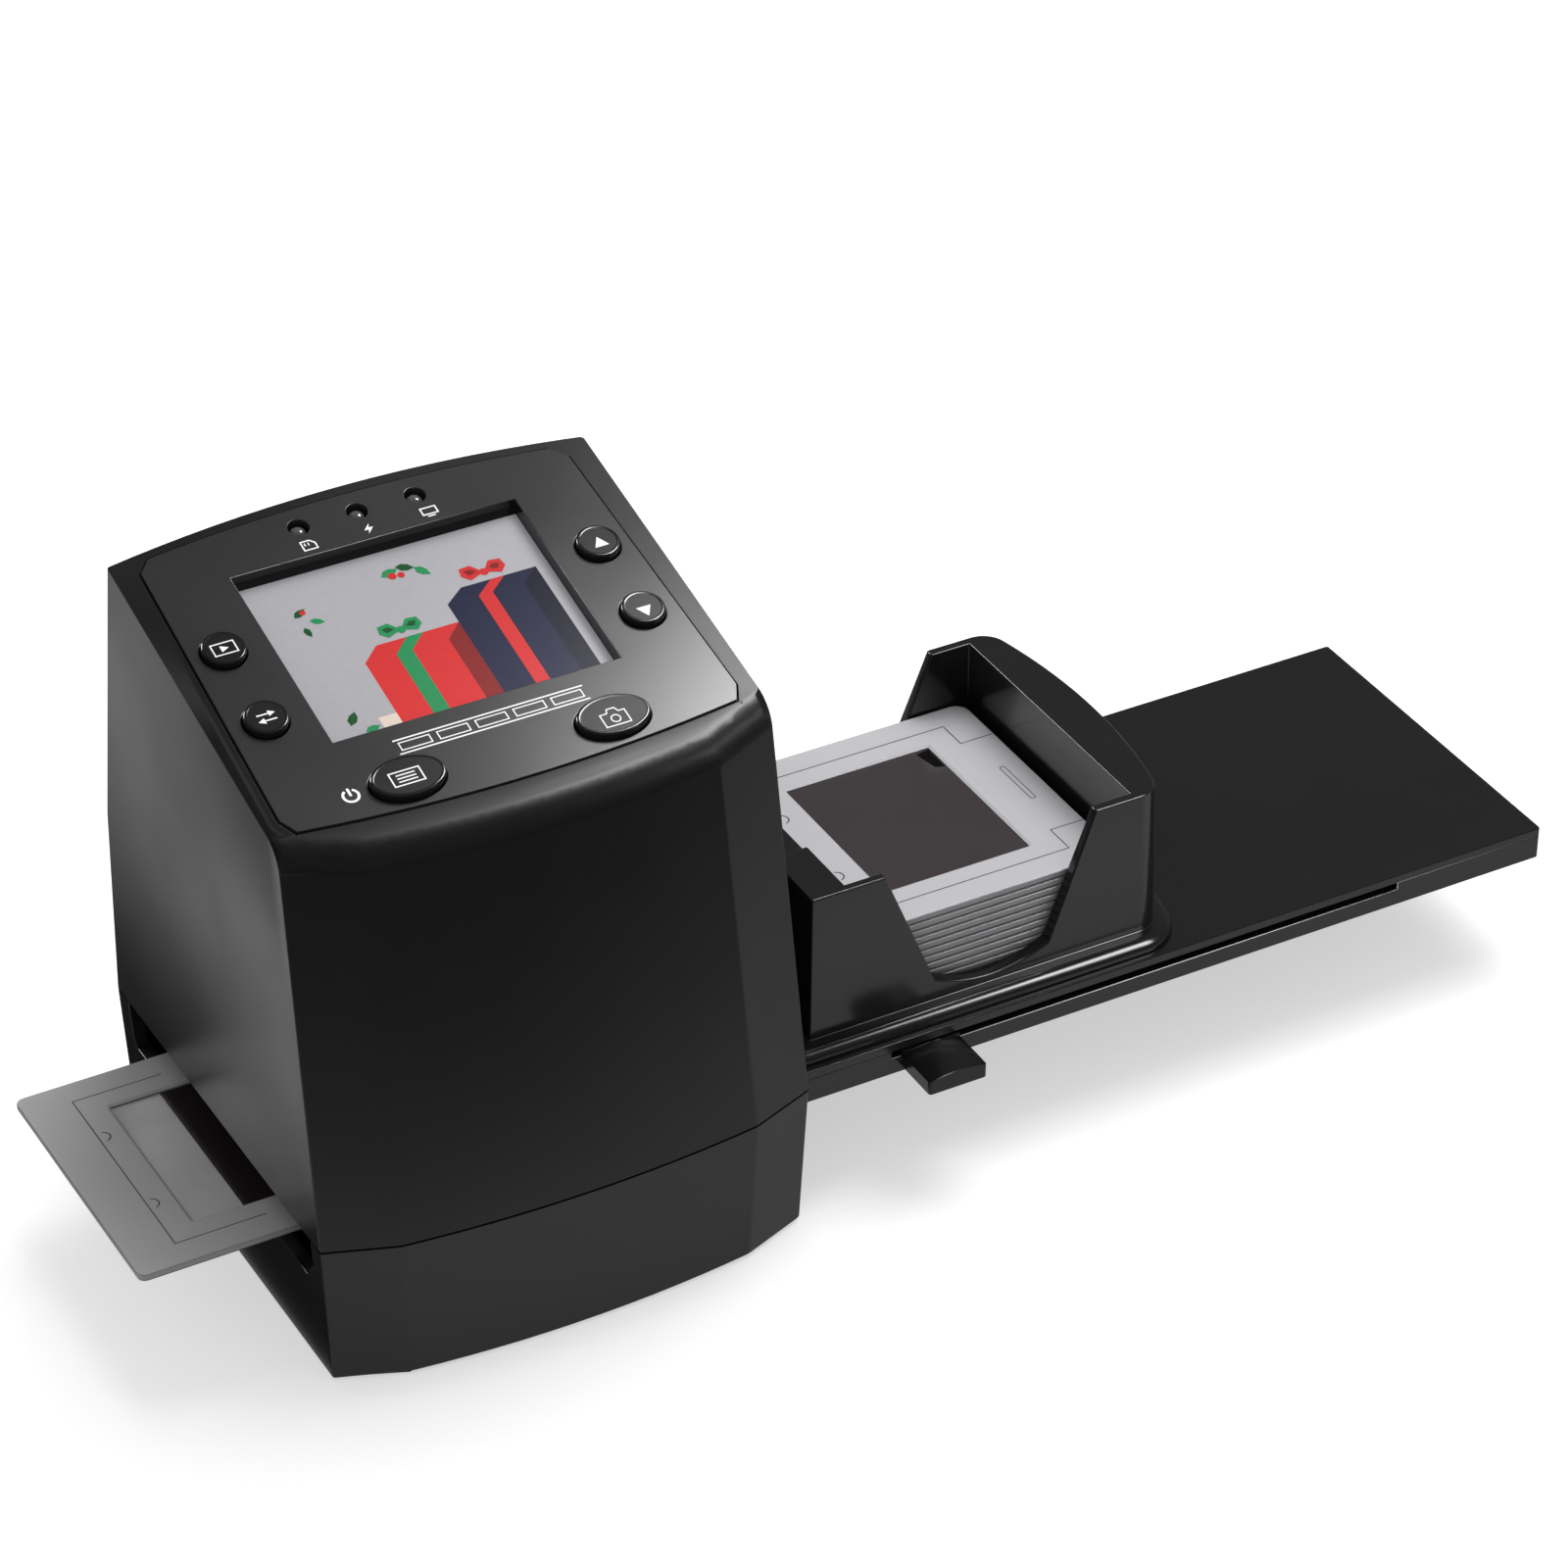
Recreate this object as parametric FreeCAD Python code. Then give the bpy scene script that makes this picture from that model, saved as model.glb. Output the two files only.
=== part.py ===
import FreeCAD, Part
import math
import os

# Film negative scanner with a plug-in slide feeder, in millimetres.
# X runs along the feeder tray, Y towards the back, Z up. The slide mounts are the standard 50 mm ones, and
# every other size follows the photograph. Places are measured from the desk and the middle of the scanner, and
# save() moves each piece so that the origin lies on the desk under the middle of the whole outfit.

# Slide mounts and film
slide_size = 50.0
slide_thickness = 1.40
slide_gap = 0.043
slide_corner = 2.5
slide_window_x = 27.0
slide_window_y = 32.7
film_thickness = 0.16
film_pocket = 0.22
film_margin = 1.6
stack_count = 14
ejected_centre_x = -40.9

# Clearances
running_gap = 0.3
close_gap = 0.2
seat_gap = 0.1
overrun = 1.0

# Scanner case, seen from above at the split line
case_half_width = 42.1
case_corner_front = 38.7
case_crease_inset = 11.5
case_crease_front = 43.0
case_middle_front = 45.0
case_corner_back = 38.6
case_middle_back = 42.1
case_wall = 2.2

# Scanner case, levels and slopes
foot_height = 0.5
split_height = 26.2
back_bend_height = 60.0
loft_rise = 21.16
bottom_side_inset = 1.2
bottom_front_inset = 0.8
bottom_back_inset = 0.5
side_draft = 0.0194
front_lean = 0.151
back_lean = 0.132
front_round = 5.5

# Control panel plane: its own frame has u across, v up the slope and w out of the panel
panel_tilt = 14.39
panel_height = 100.84
panel_y = 0.9

# Face plate and the deck that it lies on
plate_thickness = 1.5
plate_proud = 0.3
deck_thickness = 1.7
plate_gap = 0.3
plate_side_margin = 4.2
plate_front_taper = 1.5
plate_back_taper = 1.6
plate_corner_front = 27.9
plate_widest_front = 25.0
plate_middle_front = 30.3
plate_side_back = 29.0
plate_shoulder_back = 31.5
plate_shoulder_inset = 2.3
plate_middle_back = 33.7

# Screen
screen_side_margin = 12.25
screen_front = 13.6
screen_back = 23.15
screen_depth = 2.5
screen_glass_thickness = 0.7
screen_deck_margin = 0.6
screen_glass_margin = 0.3
screen_frame_margin_x = 2.7
screen_frame_margin_y = 2.6
screen_frame_thickness = 3.0

# Status lamps
lamp_pitch = 9.9
lamp_v = 29.5
lamp_hole_radius = 1.7
lamp_pipe_radius = 1.45
lamp_pipe_sunk = 0.5
lamp_chip_size = 2.0
lamp_chip_height = 0.8

# Buttons
button_radius = 3.45
button_side_margin = 4.8
button_upper_v = 9.2
button_lower_v = -6.1
oval_half_length = 6.0
oval_half_width = 4.0
oval_inset = 7.05
oval_v = -24.6
button_proud = 1.2
button_gap = 0.25
button_flange = 0.75
button_flange_thickness = 0.9
button_stem_radius = 1.3
button_travel = 0.6
button_edge = 0.4

# Main board behind the panel
board_thickness = 1.6
board_depth = 10.0
board_side_margin = 7.6
board_front = 28.0
board_back = 27.0
board_tongue_half = 14.0
board_tongue_back = 31.2
board_post_inset = 4.0
board_post_back = 19.5
board_post_front = -17.3
board_post_radius = 2.2
small_screw_radius = 0.9
small_screw_head_radius = 1.8
small_screw_head_height = 1.2
small_screw_reach = 5.0
small_screw_hole_gap = 0.05
key_switch_size = 6.0
key_switch_height = 3.4
key_switch_plunger_radius = 1.7
chip_size = 12.0
chip_height = 1.2
chip_v = 3.0
memory_size_u = 10.0
memory_size_v = 14.0
memory_u = 18.0
plug_size_u = 7.0
plug_size_v = 3.2
plug_height = 2.0
sensor_plug_u = -5.0
sensor_plug_v = -20.0
base_plug_v = 23.5

# Film slot through the base, and the light box below it
slot_clearance = 2.3
slot_centre_y = -0.5
slot_floor = 17.6
slot_chamfer = 3.0
slot_chamfer_height = 3.6
slot_back_chamfer = 1.5
base_floor = 2.2
gate_top = 17.8
gate_thickness = 1.5
gate_half_x = 26.0
gate_half_y = 25.0
gate_window_x = 36.0
gate_window_y = 27.0
gate_rib = 2.0
diffuser_thickness = 2.0
diffuser_margin = 2.0
reflector_wall = 1.6
reflector_taper = 3.0
lamp_board_height = 7.0
lamp_board_half_x = 22.0
lamp_board_half_y = 18.0
lamp_boss_radius = 2.4
lamp_boss_inset = 2.6
lamp_led_size = 2.8
lamp_led_height = 0.8
lamp_led_columns = 3
lamp_led_rows = 3
lamp_led_pitch_x = 10.0
lamp_led_pitch_y = 8.0

# Optics tunnel, lens and sensor
optics_post_x = 27.0
optics_post_y = 35.6
optics_post_radius = 2.6
tunnel_flange_half_x = 30.0
tunnel_flange_half_y = 37.5
cable_notch_depth = 4.2
tunnel_flange_thickness = 1.5
tunnel_half_x = 21.0
tunnel_half_y = 16.5
tunnel_wall = 1.6
sensor_standoff = 12.0
tunnel_bore_radius = 9.0
lens_holder_radius = 12.0
lens_holder_flange = 1.6
lens_holder_height = 7.0
lens_holder_tube_radius = 8.0
lens_barrel_radius = 6.0
lens_barrel_gap = 0.05
lens_barrel_wall = 1.2
lens_barrel_below = 4.0
lens_barrel_above = 8.0
lens_front_thickness = 2.4
lens_back_thickness = 1.6
lens_front_inset = 1.5
lens_back_inset = 4.0
lens_seat_gap = 0.02
sensor_depth = 30.84
sensor_board_half = 14.0
sensor_board_thickness = 1.2
sensor_post_offset = 11.5
sensor_post_radius = 1.9
sensor_size = 9.0
sensor_height = 1.0

# Connector board at the back of the base
connector_board_height = 6.5
connector_board_half_width = 23.5
connector_board_front = 21.0
connector_board_back = 36.6
connector_boss_radius = 2.2
connector_boss_inset_x = 3.2
connector_boss_inset_y = 3.0
usb_x = -17.0
usb_half_width = 3.9
usb_height = 4.0
usb_depth = 8.5
usb_wall = 0.5
usb_tongue_height = 0.9
usb_tongue_half_width = 2.4
usb_reach = 2.0
card_x = 3.0
card_half_width = 13.0
card_height = 3.0
card_depth = 14.5
card_wall = 0.5
card_reach = 1.6
port_gap = 0.4

# Ribbon cables between the boards
ribbon_thickness = 0.3
ribbon_width = 5.0
ribbon_overlap = 2.0
lamp_ribbon_x = 12.0
base_ribbon_x = 19.8
base_ribbon_y = 34.6
base_ribbon_rise = 9.4

# Case posts, screws and feet
case_post_inset = 6.7
case_post_y = 36.0
case_post_radius = 3.2
case_post_top = 58.0
case_screw_radius = 1.4
case_screw_head_radius = 2.4
case_screw_head_height = 1.8
case_screw_top = 36.0
case_screw_sink = 2.2
case_screw_gap = 0.1
foot_inset_x = 11.1
foot_y = 29.0
foot_radius = 4.0
foot_thickness = 1.3
foot_gap = 0.1

# Feeder tray
tray_half_width = 32.3
tray_left = -34.0
tray_beyond_hopper = 78.1
tray_bottom = 18.1
tray_top = 24.1
tray_floor = 1.5
tray_cover_thickness = 1.5
tray_corner = 0.5
channel_half_width = 25.5
channel_flange_half_width = 26.9
channel_end_wall = 2.0
tray_slot_from = 5.1
tray_slot_length = 96.8
tray_slot_bottom = 21.2
tray_window = 36.0
tray_rib_pocket_inset = 1.6
tray_rib_pocket_width = 2.5
tray_screw_inset = 2.9
tray_screw_xs = (-29.0, 52.0, 168.0)
tray_screw_post_half = 3.0

# Hopper
hopper_top = 52.7
hopper_offset = 7.0
slide_near_gap = 1.1
slide_far_gap = 1.5
hopper_pocket_half = 25.4
hopper_wall = 1.6
hopper_left_wall = 6.6
hopper_right_block = 8.1
hopper_right_flat = 1.1
hopper_right_corner = 4.5
hopper_draft = 0.9
hopper_notch_half = 13.4
hopper_notch_depth = 1.2
hopper_notch_wall = 1.0
skirt_reach = 3.1
skirt_height = 2.3
skirt_round = 1.9
cutout_top_from = 6.6
cutout_top_width = 38.7
cutout_low_from = 15.5
cutout_low_width = 21.2
cutout_low = 30.2
cutout_bottom = 27.8
hopper_core_wall = 1.8
hopper_core_top = 3.0

# Pusher
pusher_tail = 30.4
pusher_length = 74.2
pusher_half_width = 25.0
pusher_thickness = 1.2
tab_from = 6.9
tab_width = 10.6
tab_reach = 8.8
tab_bottom = 19.0
tab_top = 22.2
tab_crown = 0.7
tab_round = 0.6
pusher_flange_thickness = 1.0

V = FreeCAD.Vector

# Places and levels that follow from the sizes above
loft_top = panel_height + loft_rise
case_crease_x = case_half_width - case_crease_inset
plate_half_widest = case_half_width - plate_side_margin
plate_half_front = plate_half_widest - plate_front_taper
plate_half_back = plate_half_widest - plate_back_taper
plate_shoulder_x = plate_half_back - plate_shoulder_inset
screen_half_width = plate_half_back - screen_side_margin
button_u = plate_half_back - button_side_margin
oval_u = screen_half_width - oval_inset
board_half_width = case_half_width - board_side_margin
board_post_u = board_half_width - board_post_inset
case_post_x = case_half_width - case_post_inset
foot_x = case_half_width - foot_inset_x
sensor_board_height = panel_height - sensor_depth
tunnel_top = sensor_board_height - sensor_standoff
lens_barrel_bottom = tunnel_top - lens_barrel_below
lens_barrel_top = tunnel_top + lens_barrel_above
lens_front_height = lens_barrel_bottom + lens_front_inset
lens_back_height = lens_barrel_top - lens_back_inset
hopper_left = case_half_width + hopper_offset
hopper_pocket_left = hopper_left + hopper_left_wall
stack_centre_x = hopper_pocket_left + slide_near_gap + slide_size / 2
hopper_pocket_right = stack_centre_x + slide_size / 2 + slide_far_gap
hopper_right_reach = hopper_pocket_right + hopper_right_block
hopper_right_corner_x = hopper_pocket_right + hopper_right_flat
cutout_top_left = hopper_pocket_left + cutout_top_from
cutout_top_right = cutout_top_left + cutout_top_width
cutout_low_left = hopper_pocket_left + cutout_low_from
cutout_low_right = cutout_low_left + cutout_low_width
tray_slot_left = hopper_pocket_left + tray_slot_from
tray_slot_right = tray_slot_left + tray_slot_length
tray_right = hopper_pocket_right + tray_beyond_hopper
pusher_left = hopper_pocket_left - pusher_tail
pusher_right = pusher_left + pusher_length
tab_left = hopper_pocket_left + tab_from
tab_right = tab_left + tab_width
tab_front = tray_half_width + tab_reach
tray_screw_y = tray_half_width - tray_screw_inset
tray_rib_pocket_outer = tray_half_width - tray_rib_pocket_inset
tray_rib_pocket_inner = tray_rib_pocket_outer - tray_rib_pocket_width
slot_half_length = tray_half_width + slot_clearance
slide_pitch = slide_thickness + slide_gap
channel_floor = tray_bottom + tray_floor
channel_right = tray_right - channel_end_wall
slide_level = channel_floor + running_gap
stack_level = slide_level + slide_pitch
cover_bottom = tray_top - tray_cover_thickness
deck_bottom = -plate_thickness - deck_thickness
tunnel_base = tray_top + running_gap
hopper_half_width = hopper_pocket_half + hopper_wall
origin_x = (ejected_centre_x - slide_size / 2 + tray_right) / 2
origin_y = (case_middle_back - case_middle_front) / 2


def box(x0, x1, y0, y1, z0, z1):
    return Part.makeBox(x1 - x0, y1 - y0, z1 - z0, V(x0, y0, z0))


def post(x, y, z0, z1, radius):
    return Part.makeCylinder(radius, z1 - z0, V(x, y, z0))


def prism(points, z0, z1):
    corners = [V(x, y, z0) for x, y in points]
    face = Part.Face(Part.makePolygon(corners + corners[:1]))
    return face.extrude(V(0, 0, z1 - z0))


def wire_prism(edges, height):
    return Part.Face(Part.Wire(edges)).extrude(V(0, 0, height))


def fused(shapes):
    whole = shapes[0]
    if len(shapes) > 1:
        whole = whole.fuse(shapes[1:])
    return whole.removeSplitter()


def without(shape, tools):
    for tool in tools:
        shape = shape.cut(tool)
    return shape


def rounded_box(x0, x1, y0, y1, z0, z1, radius):
    edges = []
    corners = [(x1, y0, -1, 1), (x1, y1, -1, -1), (x0, y1, 1, -1), (x0, y0, 1, 1)]
    diagonal = radius * (1 - math.sqrt(0.5))
    joints = []
    for x, y, sx, sy in corners:
        along_x = V(x + sx * radius, y, z0)
        along_y = V(x, y + sy * radius, z0)
        middle = V(x + sx * diagonal, y + sy * diagonal, z0)
        first, last = (along_x, along_y) if sx * sy < 0 else (along_y, along_x)
        joints.append((first, middle, last))
    for index, (first, middle, last) in enumerate(joints):
        edges.append(Part.Arc(first, middle, last).toShape())
        following = joints[(index + 1) % len(joints)][0]
        edges.append(Part.LineSegment(last, following).toShape())
    return wire_prism(edges, z1 - z0)


def on_panel(shape):
    shape = shape.copy()
    turn = FreeCAD.Rotation(V(1, 0, 0), panel_tilt)
    shape.Placement = FreeCAD.Placement(V(0, panel_y, panel_height), turn).multiply(shape.Placement)
    return shape


def save(name, shape):
    if isinstance(shape, (list, tuple)):
        shape = Part.makeCompound(shape)
    shape = shape.copy()
    shape.translate(V(-origin_x, -origin_y, 0))
    shape.exportStep("parts/" + name + ".step")
    print(name, len(shape.Solids), round(shape.Volume), shape.isValid())


# Outer and inner shapes of the case
def case_outline(z, inset):
    side = inset
    front = inset
    back = inset
    if z < split_height:
        share = (split_height - z) / (split_height - foot_height)
        side = side + bottom_side_inset * share
        front = front + bottom_front_inset * share
        back = back + bottom_back_inset * share
    else:
        side = side + side_draft * (z - split_height)
        front = front + front_lean * (z - split_height)
    if z > back_bend_height:
        back = back + back_lean * (z - back_bend_height)
    corner_x = case_half_width - side
    crease_x = case_crease_x - side
    points = {
        "front_left": V(-corner_x, front - case_corner_front, z),
        "crease_left": V(-crease_x, front - case_crease_front, z),
        "front": V(0, front - case_middle_front, z),
        "crease_right": V(crease_x, front - case_crease_front, z),
        "front_right": V(corner_x, front - case_corner_front, z),
        "back_right": V(corner_x, case_corner_back - back, z),
        "back": V(0, case_middle_back - back, z),
        "back_left": V(-corner_x, case_corner_back - back, z)}
    edges = [
        Part.LineSegment(points["front_left"], points["crease_left"]).toShape(),
        Part.Arc(points["crease_left"], points["front"], points["crease_right"]).toShape(),
        Part.LineSegment(points["crease_right"], points["front_right"]).toShape(),
        Part.LineSegment(points["front_right"], points["back_right"]).toShape(),
        Part.Arc(points["back_right"], points["back"], points["back_left"]).toShape(),
        Part.LineSegment(points["back_left"], points["front_left"]).toShape()]
    return Part.Wire(edges)


def case_body(levels, inset):
    sections = [case_outline(z, inset) for z in levels]
    return Part.makeLoft(sections, True, True)


def above_panel(depth):
    reach = loft_top
    return on_panel(box(-reach, reach, -reach, reach, -depth, reach))


def upper_outer():
    body = case_body((split_height, back_bend_height, loft_top), 0)
    body = body.cut(above_panel(plate_proud))
    top = max(body.Faces, key=lambda face: face.CenterOfMass.z)
    front_edges = [edge for edge in top.Edges
                   if edge.CenterOfMass.y < -case_corner_front / 2
                   and abs(edge.CenterOfMass.x) < case_corner_front]
    return body.makeFillet(front_round, front_edges)


# Shapes on the panel, in its own frame
def plate_outline(gap):
    front_y = -plate_corner_front - gap
    side_front = -plate_widest_front
    shoulder = plate_shoulder_back + gap
    half_front = plate_half_front + gap
    half_widest = plate_half_widest + gap
    half_back = plate_half_back + gap
    rows = [
        ("line", V(half_front, front_y), None, V(half_widest, side_front)),
        ("line", V(half_widest, side_front), None, V(half_back, plate_side_back)),
        ("line", V(half_back, plate_side_back), None, V(plate_shoulder_x, shoulder)),
        ("arc", V(plate_shoulder_x, shoulder), V(0, plate_middle_back + gap), V(-plate_shoulder_x, shoulder)),
        ("line", V(-plate_shoulder_x, shoulder), None, V(-half_back, plate_side_back)),
        ("line", V(-half_back, plate_side_back), None, V(-half_widest, side_front)),
        ("line", V(-half_widest, side_front), None, V(-half_front, front_y)),
        ("arc", V(-half_front, front_y), V(0, -plate_middle_front - gap), V(half_front, front_y))]
    edges = []
    for kind, first, middle, last in rows:
        if kind == "line":
            edges.append(Part.LineSegment(first, last).toShape())
        else:
            edges.append(Part.Arc(first, middle, last).toShape())
    return edges


def flat(edges, w0, w1):
    solid = wire_prism(edges, w1 - w0)
    solid.translate(V(0, 0, w0))
    return solid


def oval(u, v, half_length, half_width, w0, w1):
    if half_length == half_width:
        return post(u, v, w0, w1, half_width)
    ellipse = Part.Ellipse(V(u, v, w0), half_length, half_width).toShape()
    return Part.Face(Part.Wire([ellipse])).extrude(V(0, 0, w1 - w0))


button_places = {
    "button_upper_left": (-button_u, button_upper_v, button_radius, button_radius),
    "button_lower_left": (-button_u, button_lower_v, button_radius, button_radius),
    "button_upper_right": (button_u, button_upper_v, button_radius, button_radius),
    "button_lower_right": (button_u, button_lower_v, button_radius, button_radius),
    "oval_button_left": (-oval_u, oval_v, oval_half_length, oval_half_width),
    "oval_button_right": (oval_u, oval_v, oval_half_length, oval_half_width)}

lamp_places = [-lamp_pitch, 0, lamp_pitch]

board_post_places = [(-board_post_u, board_post_back), (board_post_u, board_post_back),
                     (-board_post_u, board_post_front), (board_post_u, board_post_front)]


def panel_holes(w0, w1, screen_margin):
    tools = [box(-screen_half_width - screen_margin, screen_half_width + screen_margin,
                 -screen_front - screen_margin, screen_back + screen_margin, w0, w1)]
    for u, v, half_length, half_width in button_places.values():
        tools.append(oval(u, v, half_length + button_gap, half_width + button_gap, w0, w1))
    for u in lamp_places:
        tools.append(post(u, lamp_v, w0, w1, lamp_hole_radius))
    return tools


def make_face_plate():
    plate = flat(plate_outline(0), -plate_thickness, 0)
    plate = without(plate, panel_holes(-plate_thickness - overrun, overrun, 0))
    save("face_plate", on_panel(plate))


def make_upper_case():
    outer = upper_outer()
    hollow = case_body((split_height, back_bend_height, loft_top), case_wall)
    hollow = hollow.fuse(case_outline_slab(case_wall))
    hollow = hollow.cut(above_panel(-deck_bottom))
    case = outer.cut(hollow)
    posts = []
    for x, y in case_post_places():
        posts.append(post(x, y, split_height, case_post_top, case_post_radius).common(outer))
    for u, v in board_post_places:
        posts.append(on_panel(post(u, v, -board_depth, deck_bottom, board_post_radius)))
    case = fused([case] + posts)
    recess = flat(plate_outline(plate_gap), -plate_thickness, front_round)
    case = case.cut(on_panel(recess))
    holes = panel_holes(deck_bottom - overrun, overrun, screen_deck_margin)
    case = without(case, [on_panel(hole) for hole in holes])
    for u, v in board_post_places:
        hole = post(u, v, -board_depth - overrun, -board_depth + small_screw_reach,
                    small_screw_radius + small_screw_hole_gap)
        case = case.cut(on_panel(hole))
    for x, y in case_post_places():
        case = case.cut(post(x, y, split_height - overrun, case_screw_top + overrun,
                             case_screw_radius + case_screw_gap))
    save("upper_case", case)


def case_outline_slab(inset):
    slab = Part.Face(case_outline(split_height, inset)).extrude(V(0, 0, -overrun))
    return slab


def case_post_places():
    return [(sx * case_post_x, sy * case_post_y) for sx in (-1, 1) for sy in (-1, 1)]


def make_buttons():
    for name, (u, v, half_length, half_width) in button_places.items():
        cap = oval(u, v, half_length, half_width, deck_bottom - seat_gap, button_proud)
        rim = [edge for edge in cap.Edges if edge.BoundBox.ZMin > button_proud - button_edge]
        cap = cap.makeFillet(button_edge, rim)
        flange_top = deck_bottom - seat_gap
        flange = oval(u, v, half_length + button_flange, half_width + button_flange,
                      flange_top - button_flange_thickness, flange_top)
        switch_top = key_switch_height - board_depth
        stem = post(u, v, switch_top + button_travel + seat_gap, flange_top - button_flange_thickness,
                    button_stem_radius)
        save(name, on_panel(fused([cap, flange, stem])))


# Screen and main board
def make_screen():
    glass = box(-screen_half_width - screen_glass_margin, screen_half_width + screen_glass_margin,
                -screen_front - screen_glass_margin, screen_back + screen_glass_margin,
                -screen_depth - screen_glass_thickness, -screen_depth)
    save("screen_glass", on_panel(glass))
    frame_top = deck_bottom - seat_gap
    frame = box(-screen_half_width - screen_frame_margin_x, screen_half_width + screen_frame_margin_x,
                -screen_front - screen_frame_margin_y, screen_back + screen_frame_margin_y,
                frame_top - screen_frame_thickness, frame_top)
    save("screen_backlight", on_panel(frame))


def make_main_board():
    bottom = -board_depth - board_thickness
    board = box(-board_half_width, board_half_width, -board_front, board_back, bottom, -board_depth)
    tongue = box(-board_tongue_half, board_tongue_half, 0, board_tongue_back, bottom, -board_depth)
    board = fused([board, tongue])
    for u, v in board_post_places:
        board = board.cut(post(u, v, bottom - overrun, overrun, small_screw_radius + small_screw_hole_gap))
    save("main_board", on_panel(board))
    screws = []
    for u, v in board_post_places:
        head = post(u, v, bottom - small_screw_head_height, bottom, small_screw_head_radius)
        shank = post(u, v, bottom, -board_depth + small_screw_reach - overrun, small_screw_radius)
        screws.append(on_panel(fused([head, shank])))
    save("board_screws", screws)


def make_key_switches():
    switches = []
    half = key_switch_size / 2
    for u, v, half_length, half_width in button_places.values():
        body_top = key_switch_height - board_depth - button_travel
        body = box(u - half, u + half, v - half, v + half, -board_depth, body_top)
        plunger = post(u, v, body_top, key_switch_height - board_depth, key_switch_plunger_radius)
        switches.append(on_panel(fused([body, plunger])))
    save("key_switches", switches)


def make_status_lamps():
    chips = []
    pipes = []
    half = lamp_chip_size / 2
    chip_top = lamp_chip_height - board_depth
    for u in lamp_places:
        chips.append(on_panel(box(u - half, u + half, lamp_v - half, lamp_v + half, -board_depth, chip_top)))
        dome_base = -lamp_pipe_sunk - lamp_pipe_radius
        dome = Part.makeSphere(lamp_pipe_radius, V(u, lamp_v, dome_base))
        pipe = post(u, lamp_v, chip_top + seat_gap, dome_base, lamp_pipe_radius)
        pipes.append(on_panel(fused([pipe, dome])))
    save("status_lamp_chips", chips)
    save("status_light_pipes", pipes)


def make_board_chips():
    bottom = -board_depth - board_thickness
    half = chip_size / 2
    processor = box(-half, half, chip_v - half, chip_v + half, bottom - chip_height, bottom)
    memory = box(memory_u - memory_size_u / 2, memory_u + memory_size_u / 2,
                 chip_v - memory_size_v / 2, chip_v + memory_size_v / 2, bottom - chip_height, bottom)
    save("board_chips", [on_panel(processor), on_panel(memory)])
    plugs = []
    for u, v in [(sensor_plug_u, sensor_plug_v), (base_ribbon_x, base_plug_v)]:
        plugs.append(on_panel(box(u - plug_size_u / 2, u + plug_size_u / 2,
                                  v - plug_size_v / 2, v + plug_size_v / 2, bottom - plug_height, bottom)))
    save("board_plugs", plugs)


# Base with its slot, light box and connector ports
def light_box_levels():
    diffuser_top = gate_top - gate_thickness
    diffuser_bottom = diffuser_top - diffuser_thickness
    board_top = lamp_board_height + board_thickness
    return board_top, diffuser_bottom, diffuser_top


def make_base_case():
    outer = case_body((foot_height, split_height), 0)
    floor_top = foot_height + base_floor
    hollow = case_body((foot_height, split_height), case_wall)
    hollow = hollow.fuse(Part.Face(case_outline(split_height, case_wall)).extrude(V(0, 0, overrun)))
    hollow = hollow.cut(box(-case_half_width, case_half_width, -case_middle_front, case_middle_back,
                            0, floor_top))
    case = outer.cut(hollow)
    posts = []
    for x, y in case_post_places():
        posts.append(post(x, y, floor_top, split_height, case_post_radius).common(outer))
    for x, y in optics_post_places():
        posts.append(post(x, y, floor_top, tunnel_base, optics_post_radius))
    for x, y in lamp_boss_places():
        posts.append(post(x, y, floor_top, lamp_board_height, lamp_boss_radius))
    for x, y in connector_boss_places():
        posts.append(post(x, y, floor_top, connector_board_height, connector_boss_radius))
    gate_bottom = gate_top - gate_thickness
    for side in (-1, 1):
        outer_x = side * gate_half_x
        inner_x = side * (gate_half_x - gate_rib)
        x0, x1 = sorted((outer_x, inner_x))
        posts.append(box(x0, x1, -gate_half_y / 2, gate_half_y / 2, floor_top, gate_bottom))
    case = fused([case] + posts)
    case = without(case, base_cuts())
    save("base_case", case)


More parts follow.
